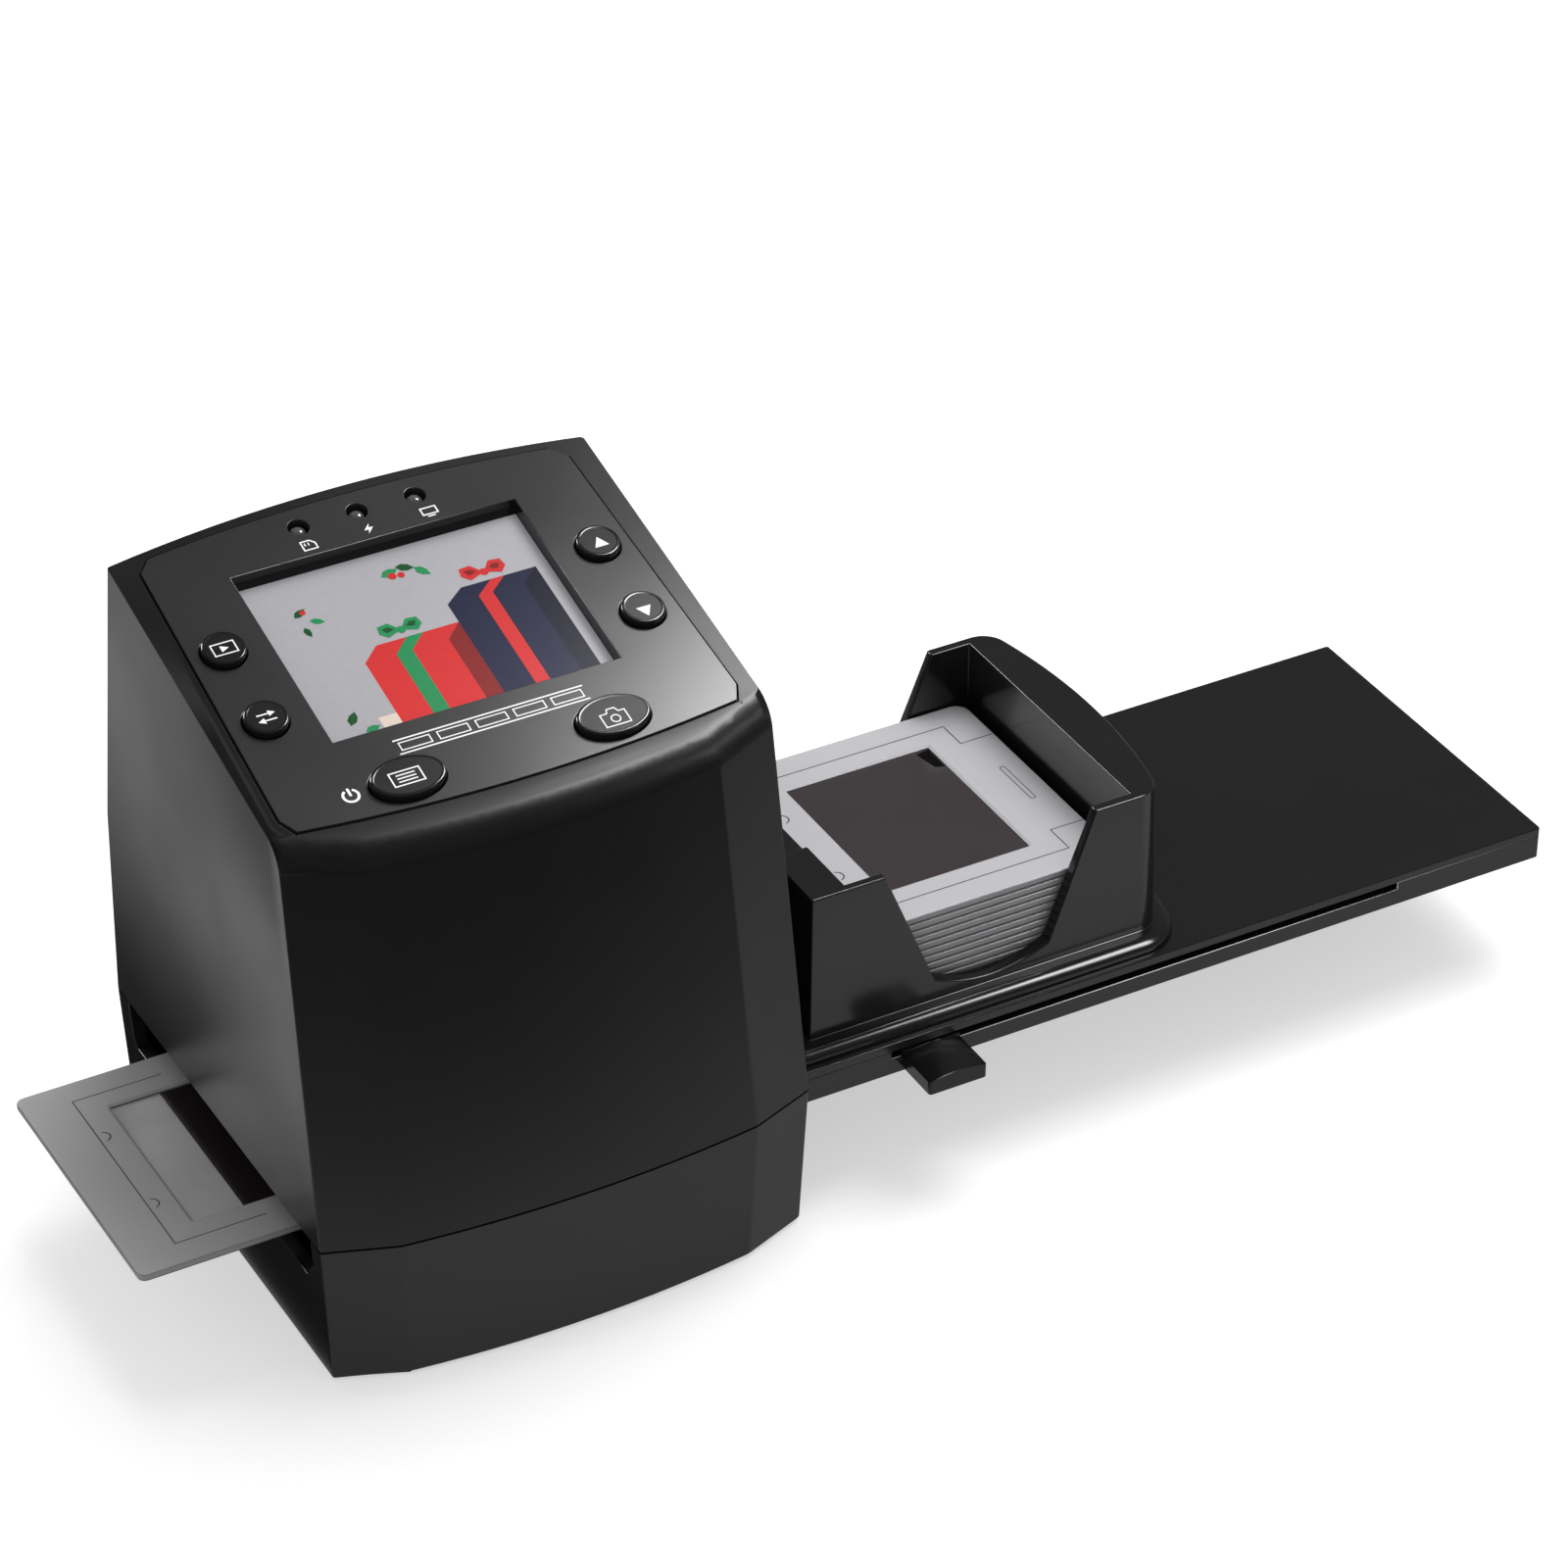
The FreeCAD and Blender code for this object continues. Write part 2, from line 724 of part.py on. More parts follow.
def base_cuts():
    reach = case_half_width + overrun
    slot_front = slot_centre_y - slot_half_length
    slot_back = slot_centre_y + slot_half_length
    high = split_height + overrun
    profile = [(slot_front, high), (slot_front, slot_floor + slot_chamfer_height),
               (slot_front + slot_chamfer, slot_floor), (slot_back - slot_back_chamfer, slot_floor),
               (slot_back, slot_floor + slot_back_chamfer), (slot_back, high)]
    corners = [V(-reach, y, z) for y, z in profile]
    face = Part.Face(Part.makePolygon(corners + corners[:1]))
    cuts = [face.extrude(V(2 * reach, 0, 0))]
    for x, y in case_post_places():
        cuts.append(post(x, y, 0, case_screw_sink + case_screw_head_height,
                         case_screw_head_radius + case_screw_gap))
        cuts.append(post(x, y, 0, split_height + overrun, case_screw_radius + case_screw_gap))
    for x, y in foot_places():
        cuts.append(post(x, y, 0, foot_thickness, foot_radius + foot_gap))
    hole = small_screw_radius + small_screw_hole_gap
    for x, y in optics_post_places():
        cuts.append(post(x, y, tunnel_base - small_screw_reach, tunnel_base + overrun, hole))
    for x, y in lamp_boss_places():
        cuts.append(post(x, y, foot_height + base_floor, lamp_board_height + overrun, hole))
    for x, y in connector_boss_places():
        cuts.append(post(x, y, foot_height + base_floor, connector_board_height + overrun, hole))
    port_floor = connector_board_height + board_thickness
    back = case_middle_back + overrun
    cuts.append(box(usb_x - usb_half_width - port_gap, usb_x + usb_half_width + port_gap,
                    connector_board_back, back,
                    port_floor - port_gap, port_floor + usb_height + port_gap))
    cuts.append(box(card_x - card_half_width - port_gap, card_x + card_half_width + port_gap,
                    connector_board_back, back,
                    port_floor - port_gap, port_floor + card_height + port_gap))
    return cuts


def foot_places():
    return [(sx * foot_x, sy * foot_y) for sx in (-1, 1) for sy in (-1, 1)]


def optics_post_places():
    return [(sx * optics_post_x, sy * optics_post_y) for sx in (-1, 1) for sy in (-1, 1)]


def lamp_boss_places():
    across = lamp_board_half_x - lamp_boss_inset
    along = lamp_board_half_y - lamp_boss_inset
    return [(sx * across, sy * along) for sx in (-1, 1) for sy in (-1, 1)]


def connector_boss_places():
    across = connector_board_half_width - connector_boss_inset_x
    y = connector_board_front + connector_boss_inset_y
    return [(-across, y), (across, y)]


def screws(places, top, reach):
    solids = []
    for x, y in places:
        head = post(x, y, top, top + small_screw_head_height, small_screw_head_radius)
        shank = post(x, y, top - reach, top, small_screw_radius)
        solids.append(fused([head, shank]))
    return solids


def make_light_box():
    board_top, diffuser_bottom, diffuser_top = light_box_levels()
    board = box(-lamp_board_half_x, lamp_board_half_x, -lamp_board_half_y, lamp_board_half_y,
                lamp_board_height, board_top)
    hole = small_screw_radius + small_screw_hole_gap
    board = without(board, [post(x, y, 0, board_top + overrun, hole) for x, y in lamp_boss_places()])
    save("lamp_board", board)
    save("lamp_board_screws", screws(lamp_boss_places(), board_top, small_screw_reach - overrun))
    half = lamp_led_size / 2
    leds = []
    for column in range(lamp_led_columns):
        for row in range(lamp_led_rows):
            x = (column - (lamp_led_columns - 1) / 2) * lamp_led_pitch_x
            y = (row - (lamp_led_rows - 1) / 2) * lamp_led_pitch_y
            leds.append(box(x - half, x + half, y - half, y + half, board_top, board_top + lamp_led_height))
    save("lamp_leds", leds)
    half_x = gate_window_x / 2 + diffuser_margin
    half_y = gate_window_y / 2 + diffuser_margin
    diffuser = box(-half_x, half_x, -half_y, half_y, diffuser_bottom, diffuser_top)
    save("light_diffuser", diffuser)
    make_reflector(board_top, diffuser_bottom, half_x, half_y)
    gate = box(-gate_half_x, gate_half_x, -gate_half_y, gate_half_y, diffuser_top, gate_top)
    gate = gate.cut(box(-gate_window_x / 2, gate_window_x / 2, -gate_window_y / 2, gate_window_y / 2,
                        diffuser_top - overrun, gate_top + overrun))
    save("lower_film_gate", gate)


def rectangle(half_x, half_y, z):
    corners = [V(-half_x, -half_y, z), V(half_x, -half_y, z), V(half_x, half_y, z), V(-half_x, half_y, z)]
    return Part.makePolygon(corners + corners[:1])


def make_reflector(bottom, top, half_x, half_y):
    low_x = half_x - reflector_taper
    low_y = half_y - reflector_taper
    outer = Part.makeLoft([rectangle(low_x, low_y, bottom), rectangle(half_x, half_y, top)], True, True)
    inner = Part.makeLoft([rectangle(low_x - reflector_wall, low_y - reflector_wall, bottom - overrun),
                           rectangle(half_x - reflector_wall, half_y - reflector_wall, top + overrun)],
                          True, True)
    save("light_reflector", outer.cut(inner))


# Optics above the film
def make_optics_tunnel():
    base = tunnel_base
    flange_top = base + tunnel_flange_thickness
    flange = box(-tunnel_flange_half_x, tunnel_flange_half_x, -tunnel_flange_half_y, tunnel_flange_half_y,
                 base, flange_top)
    tube = box(-tunnel_half_x, tunnel_half_x, -tunnel_half_y, tunnel_half_y, base, tunnel_top)
    core = box(tunnel_wall - tunnel_half_x, tunnel_half_x - tunnel_wall,
               tunnel_wall - tunnel_half_y, tunnel_half_y - tunnel_wall, flange_top, tunnel_top - tunnel_wall)
    window = box(-gate_window_x / 2, gate_window_x / 2, -gate_window_y / 2, gate_window_y / 2,
                 base - overrun, flange_top + overrun)
    tunnel = fused([flange, tube])
    tunnel = without(tunnel, [core, window, post(0, 0, core.BoundBox.ZMax - overrun, tunnel_top + overrun,
                                                 tunnel_bore_radius)])
    notch_half = ribbon_width / 2 + running_gap
    notch = box(base_ribbon_x - notch_half, base_ribbon_x + notch_half,
                tunnel_flange_half_y - cable_notch_depth, tunnel_flange_half_y + overrun,
                base - overrun, flange_top + overrun)
    sensor_posts = []
    for x, y in sensor_post_places():
        sensor_posts.append(post(x, y, tunnel_top, sensor_board_height, sensor_post_radius))
    tunnel = fused([tunnel.cut(notch)] + sensor_posts)
    hole = small_screw_radius + small_screw_hole_gap
    holes = [post(x, y, base - overrun, flange_top + overrun, hole) for x, y in optics_post_places()]
    for x, y in sensor_post_places():
        holes.append(post(x, y, sensor_board_height - small_screw_reach, sensor_board_height + overrun, hole))
    save("optics_tunnel", without(tunnel, holes))
    save("optics_screws", screws(optics_post_places(), flange_top, small_screw_reach - overrun))


def sensor_post_places():
    return [(sx * sensor_post_offset, sx * sensor_post_offset) for sx in (-1, 1)]


def make_lens():
    flange = post(0, 0, tunnel_top, tunnel_top + lens_holder_flange, lens_holder_radius)
    tube = post(0, 0, tunnel_top, tunnel_top + lens_holder_height, lens_holder_tube_radius)
    holder = fused([flange, tube])
    holder = holder.cut(post(0, 0, tunnel_top - overrun, tunnel_top + lens_holder_height + overrun,
                             lens_barrel_radius + lens_barrel_gap))
    for x, y in sensor_post_places():
        holder = holder.cut(post(x, y, tunnel_top - overrun, tunnel_top + lens_holder_height,
                                 sensor_post_radius + running_gap))
    save("lens_holder", holder)
    lens_radius = lens_barrel_radius - lens_barrel_wall
    barrel = post(0, 0, lens_barrel_bottom, lens_barrel_top, lens_barrel_radius)
    barrel = barrel.cut(post(0, 0, lens_barrel_bottom - overrun, lens_barrel_top + overrun, lens_radius))
    save("lens_barrel", barrel)
    glass_radius = lens_radius - lens_seat_gap
    glasses = [post(0, 0, lens_front_height, lens_front_height + lens_front_thickness, glass_radius),
               post(0, 0, lens_back_height, lens_back_height + lens_back_thickness, glass_radius)]
    save("lens_glasses", glasses)


def make_sensor():
    top = sensor_board_height + sensor_board_thickness
    half = sensor_board_half
    board = box(-half, half, -half, half, sensor_board_height, top)
    hole = small_screw_radius + small_screw_hole_gap
    board = without(board, [post(x, y, 0, top + overrun, hole) for x, y in sensor_post_places()])
    save("sensor_board", board)
    save("sensor_screws", screws(sensor_post_places(), top, small_screw_reach - overrun))
    half = sensor_size / 2
    bottom = sensor_board_height - sensor_height
    save("image_sensor", box(-half, half, -half, half, bottom, sensor_board_height))


# Connector board
def make_connectors():
    top = connector_board_height + board_thickness
    board = box(-connector_board_half_width, connector_board_half_width,
                connector_board_front, connector_board_back, connector_board_height, top)
    hole = small_screw_radius + small_screw_hole_gap
    board = without(board, [post(x, y, 0, top + overrun, hole) for x, y in connector_boss_places()])
    save("connector_board", board)
    save("connector_screws", screws(connector_boss_places(), top, small_screw_reach - 2 * overrun))
    usb_back = connector_board_back + usb_reach
    shell = box(usb_x - usb_half_width, usb_x + usb_half_width, usb_back - usb_depth, usb_back,
                top, top + usb_height)
    hollow = box(usb_x - usb_half_width + usb_wall, usb_x + usb_half_width - usb_wall,
                 usb_back - usb_depth + usb_wall, usb_back + overrun,
                 top + usb_wall, top + usb_height - usb_wall)
    tongue_low = top + (usb_height - usb_tongue_height) / 2
    tongue = box(usb_x - usb_tongue_half_width, usb_x + usb_tongue_half_width,
                 usb_back - usb_depth + usb_wall, usb_back - usb_reach,
                 tongue_low, tongue_low + usb_tongue_height)
    save("usb_socket", fused([shell.cut(hollow), tongue]))
    card_back = connector_board_back + card_reach
    shell = box(card_x - card_half_width, card_x + card_half_width, card_back - card_depth, card_back,
                top, top + card_height)
    hollow = box(card_x - card_half_width + card_wall, card_x + card_half_width - card_wall,
                 card_back - card_depth + card_wall, card_back + overrun, top + card_wall,
                 top + card_height - card_wall)
    save("card_socket", shell.cut(hollow))


# Ribbon cables between the boards
def ribbon(points, across, half_width):
    """A flat cable through points in a vertical plane: across is the direction of its width."""
    solids = []
    for first, last in zip(points, points[1:]):
        run = last.sub(first)
        side = run.cross(across)
        side.normalize()
        offset = side * (ribbon_thickness / 2)
        reach = across * half_width
        corners = [first + offset - reach, first - offset - reach,
                   first - offset + reach, first + offset + reach]
        solids.append(Part.Face(Part.makePolygon(corners + corners[:1])).extrude(run))
    elbows = []
    for point in points[1:-1]:
        elbow = Part.makeCylinder(ribbon_thickness / 2, 2 * half_width, point - across * half_width, across)
        elbows.append(elbow)
    return fused(solids + elbows)


def panel_point(u, v, w):
    tilt = math.radians(panel_tilt)
    return V(u, panel_y + v * math.cos(tilt) - w * math.sin(tilt),
             panel_height + v * math.sin(tilt) + w * math.cos(tilt))


def make_ribbons():
    plug_bottom = -board_depth - board_thickness - plug_height - seat_gap
    lift = ribbon_thickness / 2 + seat_gap
    sensor_top = sensor_board_height + sensor_board_thickness + lift
    upper = panel_point(sensor_plug_u, sensor_plug_v, plug_bottom)
    start = V(sensor_plug_u, upper.y, sensor_top)
    inner = V(sensor_plug_u, ribbon_overlap - sensor_board_half, sensor_top)
    save("sensor_ribbon", ribbon([inner, start, upper], V(1, 0, 0), ribbon_width / 2))
    connector_top = connector_board_height + board_thickness + seat_gap
    low = V(base_ribbon_x, base_ribbon_y, connector_top)
    upper = panel_point(base_ribbon_x, base_plug_v, plug_bottom)
    bend = V(base_ribbon_x, base_ribbon_y, upper.z - base_ribbon_rise)
    save("base_ribbon", ribbon([low, bend, upper], V(1, 0, 0), ribbon_width / 2))
    lamp_top = lamp_board_height + board_thickness + lift
    points = [V(lamp_ribbon_x, lamp_board_half_y - ribbon_overlap, lamp_top),
              V(lamp_ribbon_x, lamp_board_half_y, lamp_top),
              V(lamp_ribbon_x, connector_board_front, connector_top + ribbon_thickness / 2),
              V(lamp_ribbon_x, connector_board_front + ribbon_overlap, connector_top + ribbon_thickness / 2)]
    save("lamp_ribbon", ribbon(points, V(1, 0, 0), ribbon_width / 2))


# Screws, feet
def make_case_screws():
    solids = []
    for x, y in case_post_places():
        head = post(x, y, case_screw_sink, case_screw_sink + case_screw_head_height, case_screw_head_radius)
        shank = post(x, y, case_screw_sink + case_screw_head_height, case_screw_top, case_screw_radius)
        solids.append(fused([head, shank]))
    save("case_screws", solids)
    save("rubber_feet", [post(x, y, 0, foot_thickness, foot_radius) for x, y in foot_places()])


# Feeder tray
def tray_screw_places():
    return [(x, sy * tray_screw_y) for x in tray_screw_xs for sy in (-1, 1)]


def make_tray_base():
    body = rounded_box(tray_left, tray_right, -tray_half_width, tray_half_width, tray_bottom, cover_bottom,
                       tray_corner)
    cuts = [box(tray_left - overrun, channel_right, -channel_half_width, channel_half_width,
                channel_floor, cover_bottom + overrun)]
    cuts.append(box(tray_slot_left, tray_slot_right, -channel_flange_half_width, 0,
                    channel_floor, cover_bottom + overrun))
    cuts.append(box(tray_slot_left, tray_slot_right, -tray_half_width - overrun, 0,
                    tray_slot_bottom, cover_bottom + overrun))
    half = tray_window / 2
    cuts.append(box(-half, half, -half, half, tray_bottom - overrun, channel_floor + overrun))
    for side in (-1, 1):
        y0, y1 = sorted((side * tray_rib_pocket_inner, side * tray_rib_pocket_outer))
        stops = [tray_left] + list(tray_screw_xs) + [tray_right]
        for first, last in zip(stops, stops[1:]):
            start = first + tray_screw_post_half
            end = last - tray_screw_post_half
            if end - start > tray_screw_post_half:
                cuts.append(box(start, end, y0, y1, channel_floor, cover_bottom + overrun))
    head = small_screw_head_radius + small_screw_hole_gap
    for x, y in tray_screw_places():
        cuts.append(post(x, y, tray_bottom - overrun, tray_bottom + small_screw_head_height, head))
        cuts.append(post(x, y, tray_bottom, cover_bottom + overrun, small_screw_radius + small_screw_hole_gap))
    save("tray_base", without(body, cuts))


def make_tray_cover():
    cover = rounded_box(tray_left, tray_right, -tray_half_width, tray_half_width, cover_bottom, tray_top,
                        tray_corner)
    cuts = [box(hopper_pocket_left, hopper_pocket_right, -hopper_pocket_half, hopper_pocket_half,
                cover_bottom - overrun, tray_top + overrun)]
    half = tray_window / 2
    cuts.append(box(-half, half, -half, half, cover_bottom - overrun, tray_top + overrun))
    for x, y in tray_screw_places():
        cuts.append(post(x, y, cover_bottom - overrun, cover_bottom + tray_cover_thickness / 2,
                         small_screw_radius + small_screw_hole_gap))
    save("tray_cover", without(cover, cuts))


def make_tray_screws():
    solids = []
    for x, y in tray_screw_places():
        head_top = tray_bottom + small_screw_head_height
        head = post(x, y, tray_bottom, head_top, small_screw_head_radius)
        shank = post(x, y, head_top, cover_bottom + tray_cover_thickness / 2, small_screw_radius)
        solids.append(fused([head, shank]))
    save("tray_screws", solids)


# Hopper
def hopper_outline(z, spread):
    """The D-shaped outline: a wide bow on the right meets the long sides in smaller round corners."""
    left = hopper_left - spread
    half = hopper_half_width + spread
    corner = hopper_right_corner + spread
    reach = hopper_right_reach + spread
    corner_x = hopper_right_corner_x
    corner_y = half - corner
    inset = reach - corner_x
    bow = (inset * inset + corner_y * corner_y - corner * corner) / (2 * (inset - corner))
    bow_x = reach - bow
    stretch = bow / (bow - corner)
    end_x = bow_x + (corner_x - bow_x) * stretch
    end_y = corner_y * stretch
    turn = V(end_x - corner_x, end_y - corner_y + corner, 0)
    turn.normalize()
    turn_x = corner_x + corner * turn.x
    turn_y = corner_y + corner * turn.y
    front_left = V(left, -half, z)
    front_right = V(corner_x, -half, z)
    bow_front = V(end_x, -end_y, z)
    bow_back = V(end_x, end_y, z)
    back_right = V(corner_x, half, z)
    back_left = V(left, half, z)
    edges = [Part.LineSegment(front_left, front_right).toShape(),
             Part.Arc(front_right, V(turn_x, -turn_y, z), bow_front).toShape(),
             Part.Arc(bow_front, V(reach, 0, z), bow_back).toShape(),
             Part.Arc(bow_back, V(turn_x, turn_y, z), back_right).toShape(),
             Part.LineSegment(back_right, back_left).toShape(),
             Part.LineSegment(back_left, front_left).toShape()]
    return Part.Wire(edges)


def cutout_profile(y):
    """The U-shaped finger cut-out: slanting sides into a rounded bottom."""
    middle = (cutout_low_left + cutout_low_right) / 2
    high = hopper_top + overrun
    slope_left = (cutout_low_left - cutout_top_left) / (hopper_top - cutout_low)
    slope_right = (cutout_top_right - cutout_low_right) / (hopper_top - cutout_low)
    left_top = V(cutout_top_left - slope_left * overrun, y, high)
    right_top = V(cutout_top_right + slope_right * overrun, y, high)
    low_left = V(cutout_low_left, y, cutout_low)
    low_right = V(cutout_low_right, y, cutout_low)
    edges = [Part.LineSegment(left_top, low_left).toShape(),
             Part.Arc(low_left, V(middle, y, cutout_bottom), low_right).toShape(),
             Part.LineSegment(low_right, right_top).toShape(),
             Part.LineSegment(right_top, left_top).toShape()]
    return Part.Face(Part.Wire(edges))


def make_hopper():
    body = Part.makeLoft([hopper_outline(tray_top, hopper_draft), hopper_outline(hopper_top, 0)], True, True)
    foot = Part.Face(hopper_outline(tray_top, hopper_draft + skirt_reach)).extrude(V(0, 0, skirt_height))
    rim = [edge for edge in foot.Edges if edge.BoundBox.ZMin > tray_top + skirt_height - seat_gap]
    skirt = foot.makeFillet(skirt_round, rim)
    hopper = fused([body, skirt])
    pocket = box(hopper_pocket_left, hopper_pocket_right, -hopper_pocket_half, hopper_pocket_half,
                 tray_top - overrun, hopper_top + overrun)
    reach = hopper_half_width + hopper_draft + skirt_reach + overrun
    cutout = cutout_profile(-reach).extrude(V(0, 2 * reach, 0))
    notch = box(hopper_left + hopper_notch_wall, hopper_pocket_left + overrun,
                -hopper_notch_half, hopper_notch_half, hopper_top - hopper_notch_depth, hopper_top + overrun)
    left_core = box(hopper_left + hopper_core_wall, hopper_pocket_left - hopper_core_wall,
                    -hopper_half_width + hopper_core_wall, hopper_half_width - hopper_core_wall,
                    tray_top - overrun, hopper_top - hopper_core_top)
    right_core = box(hopper_pocket_right + hopper_core_wall,
                     hopper_right_corner_x + hopper_right_corner - hopper_core_wall,
                     hopper_right_corner - hopper_half_width, hopper_half_width - hopper_right_corner,
                     tray_top - overrun, hopper_top - hopper_core_top)
    save("hopper", without(hopper, [pocket, cutout, notch, left_core, right_core]))


# Pusher
def make_pusher():
    level = channel_floor + running_gap
    top = level + pusher_thickness
    plate = box(pusher_left, pusher_right, -pusher_half_width, pusher_half_width, level, top)
    flange_front = -channel_flange_half_width + running_gap
    arm_bottom = tray_slot_bottom + close_gap
    foot = box(tab_left, tab_right, flange_front, -pusher_half_width + overrun, level, top)
    flange = box(tab_left, tab_right, flange_front, flange_front + pusher_flange_thickness, level, tab_top)
    inner_y = -tray_half_width - close_gap
    arm = box(tab_left, tab_right, inner_y, flange_front + pusher_flange_thickness,
              arm_bottom, tab_top)
    tab_side_top = tab_top - tab_crown
    low_left = V(tab_left, -tab_front, tab_bottom)
    low_right = V(tab_right, -tab_front, tab_bottom)
    high_right = V(tab_right, -tab_front, tab_side_top)
    high_left = V(tab_left, -tab_front, tab_side_top)
    crown = V((tab_left + tab_right) / 2, -tab_front, tab_top)
    profile = [Part.LineSegment(low_left, low_right).toShape(),
               Part.LineSegment(low_right, high_right).toShape(),
               Part.Arc(high_right, crown, high_left).toShape(),
               Part.LineSegment(high_left, low_left).toShape()]
    grip = Part.Face(Part.Wire(profile)).extrude(V(0, inner_y + tab_front, 0))
    front_edges = [edge for edge in grip.Edges
                   if edge.BoundBox.YMax < -tab_front + seat_gap
                   and edge.BoundBox.XMax - edge.BoundBox.XMin < seat_gap]
    grip = grip.makeFillet(tab_round, front_edges)
    save("pusher", fused([plate, foot, flange, arm, grip]))


# Slides
def slide_mount(centre_x, bottom):
    half = slide_size / 2
    mount = rounded_box(centre_x - half, centre_x + half, -half, half, bottom, bottom + slide_thickness,
                        slide_corner)
    window_x = slide_window_x / 2
    window_y = slide_window_y / 2
    middle = bottom + slide_thickness / 2
    window = box(centre_x - window_x, centre_x + window_x, -window_y, window_y,
                 bottom - overrun, bottom + slide_thickness + overrun)
    pocket = box(centre_x - window_x - film_margin, centre_x + window_x + film_margin,
                 -window_y - film_margin, window_y + film_margin,
                 middle - film_pocket / 2, middle + film_pocket / 2)
    return without(mount, [window, pocket])


def slide_film(centre_x, bottom):
    margin = film_margin - seat_gap
    window_x = slide_window_x / 2
    window_y = slide_window_y / 2
    middle = bottom + slide_thickness / 2
    return box(centre_x - window_x - margin, centre_x + window_x + margin,
               -window_y - margin, window_y + margin,
               middle - film_thickness / 2, middle + film_thickness / 2)


def make_slides():
    levels = [stack_level + index * slide_pitch for index in range(stack_count)]
    save("stacked_slide_mounts", [slide_mount(stack_centre_x, level) for level in levels])
    save("stacked_slide_films", [slide_film(stack_centre_x, level) for level in levels])
    save("ejected_slide_mount", slide_mount(ejected_centre_x, slide_level))
    save("ejected_slide_film", slide_film(ejected_centre_x, slide_level))


os.makedirs("parts", exist_ok=True)
make_upper_case()
make_base_case()
make_face_plate()
make_screen()
make_buttons()
make_main_board()
make_key_switches()
make_status_lamps()
make_board_chips()
make_light_box()
make_optics_tunnel()
make_lens()
make_sensor()
make_connectors()
make_ribbons()
make_case_screws()
make_tray_base()
make_tray_cover()
make_tray_screws()
make_hopper()
make_pusher()
make_slides()
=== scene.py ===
# %% [markdown]
# # A film negative scanner with its slide feeder
#
# The object is a small desktop scanner: a black moulded case with a sloped control panel, a slot through
# its foot, and a plug-in tray with a hopper full of slide mounts. The engineering model already has every
# part as a solid, so this script works on how the parts look: moulded edges, print on the keys, the picture
# on the screen, the slide mounts, the finishes and the studio around them. Lengths of the object are
# written in millimetres and turned into metres on the way into a mesh. Places of lamps and the camera are
# in metres.

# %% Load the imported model
import math
import bpy
import bmesh
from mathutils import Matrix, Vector


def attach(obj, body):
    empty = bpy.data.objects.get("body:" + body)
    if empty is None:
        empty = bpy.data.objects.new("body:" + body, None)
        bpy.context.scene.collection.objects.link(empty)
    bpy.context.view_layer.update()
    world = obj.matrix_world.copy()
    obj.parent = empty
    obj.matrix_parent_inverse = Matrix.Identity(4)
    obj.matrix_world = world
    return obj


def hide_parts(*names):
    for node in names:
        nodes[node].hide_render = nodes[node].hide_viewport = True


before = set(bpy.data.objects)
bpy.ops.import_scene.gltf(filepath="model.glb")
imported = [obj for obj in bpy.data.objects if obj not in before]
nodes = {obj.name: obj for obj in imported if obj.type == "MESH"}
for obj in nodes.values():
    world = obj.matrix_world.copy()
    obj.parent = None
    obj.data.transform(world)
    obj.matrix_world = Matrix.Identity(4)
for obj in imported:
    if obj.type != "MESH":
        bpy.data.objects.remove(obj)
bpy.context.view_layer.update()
scene = bpy.context.scene

# %% [markdown]
# ## Places
#
# Most sizes were read from the middle of the scanner's foot, and the panel has a frame of its own: u
# across, v up the slope, w out of the panel. Three small functions turn both into places in the model, and
# back again.

# %% Measures
MM = 0.001
SHIFT_X = -60.25  # from the middle of the scanner to the middle of the whole outfit
SHIFT_Y = 1.45
TILT = math.radians(14.39)
PANEL_Y = 0.9
PANEL_Z = 100.84


def at(x, y, z):
    return Vector(((x + SHIFT_X) * MM, (y + SHIFT_Y) * MM, z * MM))


def local(point):
    return point.x / MM - SHIFT_X, point.y / MM - SHIFT_Y, point.z / MM


def panel(u, v, w):
    y = PANEL_Y + v * math.cos(TILT) - w * math.sin(TILT)
    z = PANEL_Z + v * math.sin(TILT) + w * math.cos(TILT)
    return at(u, y, z)


def on_panel(point):
    x, y, z = local(point)
    y = y - PANEL_Y
    z = z - PANEL_Z
    return x, y * math.cos(TILT) + z * math.sin(TILT), z * math.cos(TILT) - y * math.sin(TILT)


# %% [markdown]
# ## Helpers for meshes
#
# A softened piece starts as a copy of the solid's mesh. The copy is merged, flat areas become single faces,
# and then the edges that a mould would round get a real bevel. A Bevel modifier would round ribs and posts
# inside as well, so each edge is picked by its place. Anything drawn from scratch is a closed loft: a row
# of rings that runs round its section and ends where it starts. It pairs the points of two rings by their
# number, because the bridge operator pairs them by distance and twists the wide flat ring between a square
# edge and an oblong window.

# %% Mesh helpers
SAME_POINT = 0.002 * MM
SAME_PLANE = math.radians(0.6)


def merged(name):
    bm = bmesh.new()
    bm.from_mesh(nodes[name].data)
    bmesh.ops.remove_doubles(bm, verts=bm.verts, dist=SAME_POINT)
    bmesh.ops.dissolve_limit(bm, angle_limit=SAME_PLANE, verts=bm.verts, edges=bm.edges)
    return bm


def round_edges(bm, pick, width, segments=2, angle=28, paint=-1):
    chosen = []
    for edge in bm.edges:
        if len(edge.link_faces) == 2 and edge.calc_face_angle(0) > math.radians(angle):
            middle = (edge.verts[0].co + edge.verts[1].co) / 2
            if pick(middle, edge):
                chosen.append(edge)
    bmesh.ops.bevel(bm, geom=chosen, offset=width * MM, offset_type="OFFSET", affect="EDGES",
                    segments=segments, profile=0.5, material=paint, clamp_overlap=False)
    return len(chosen)


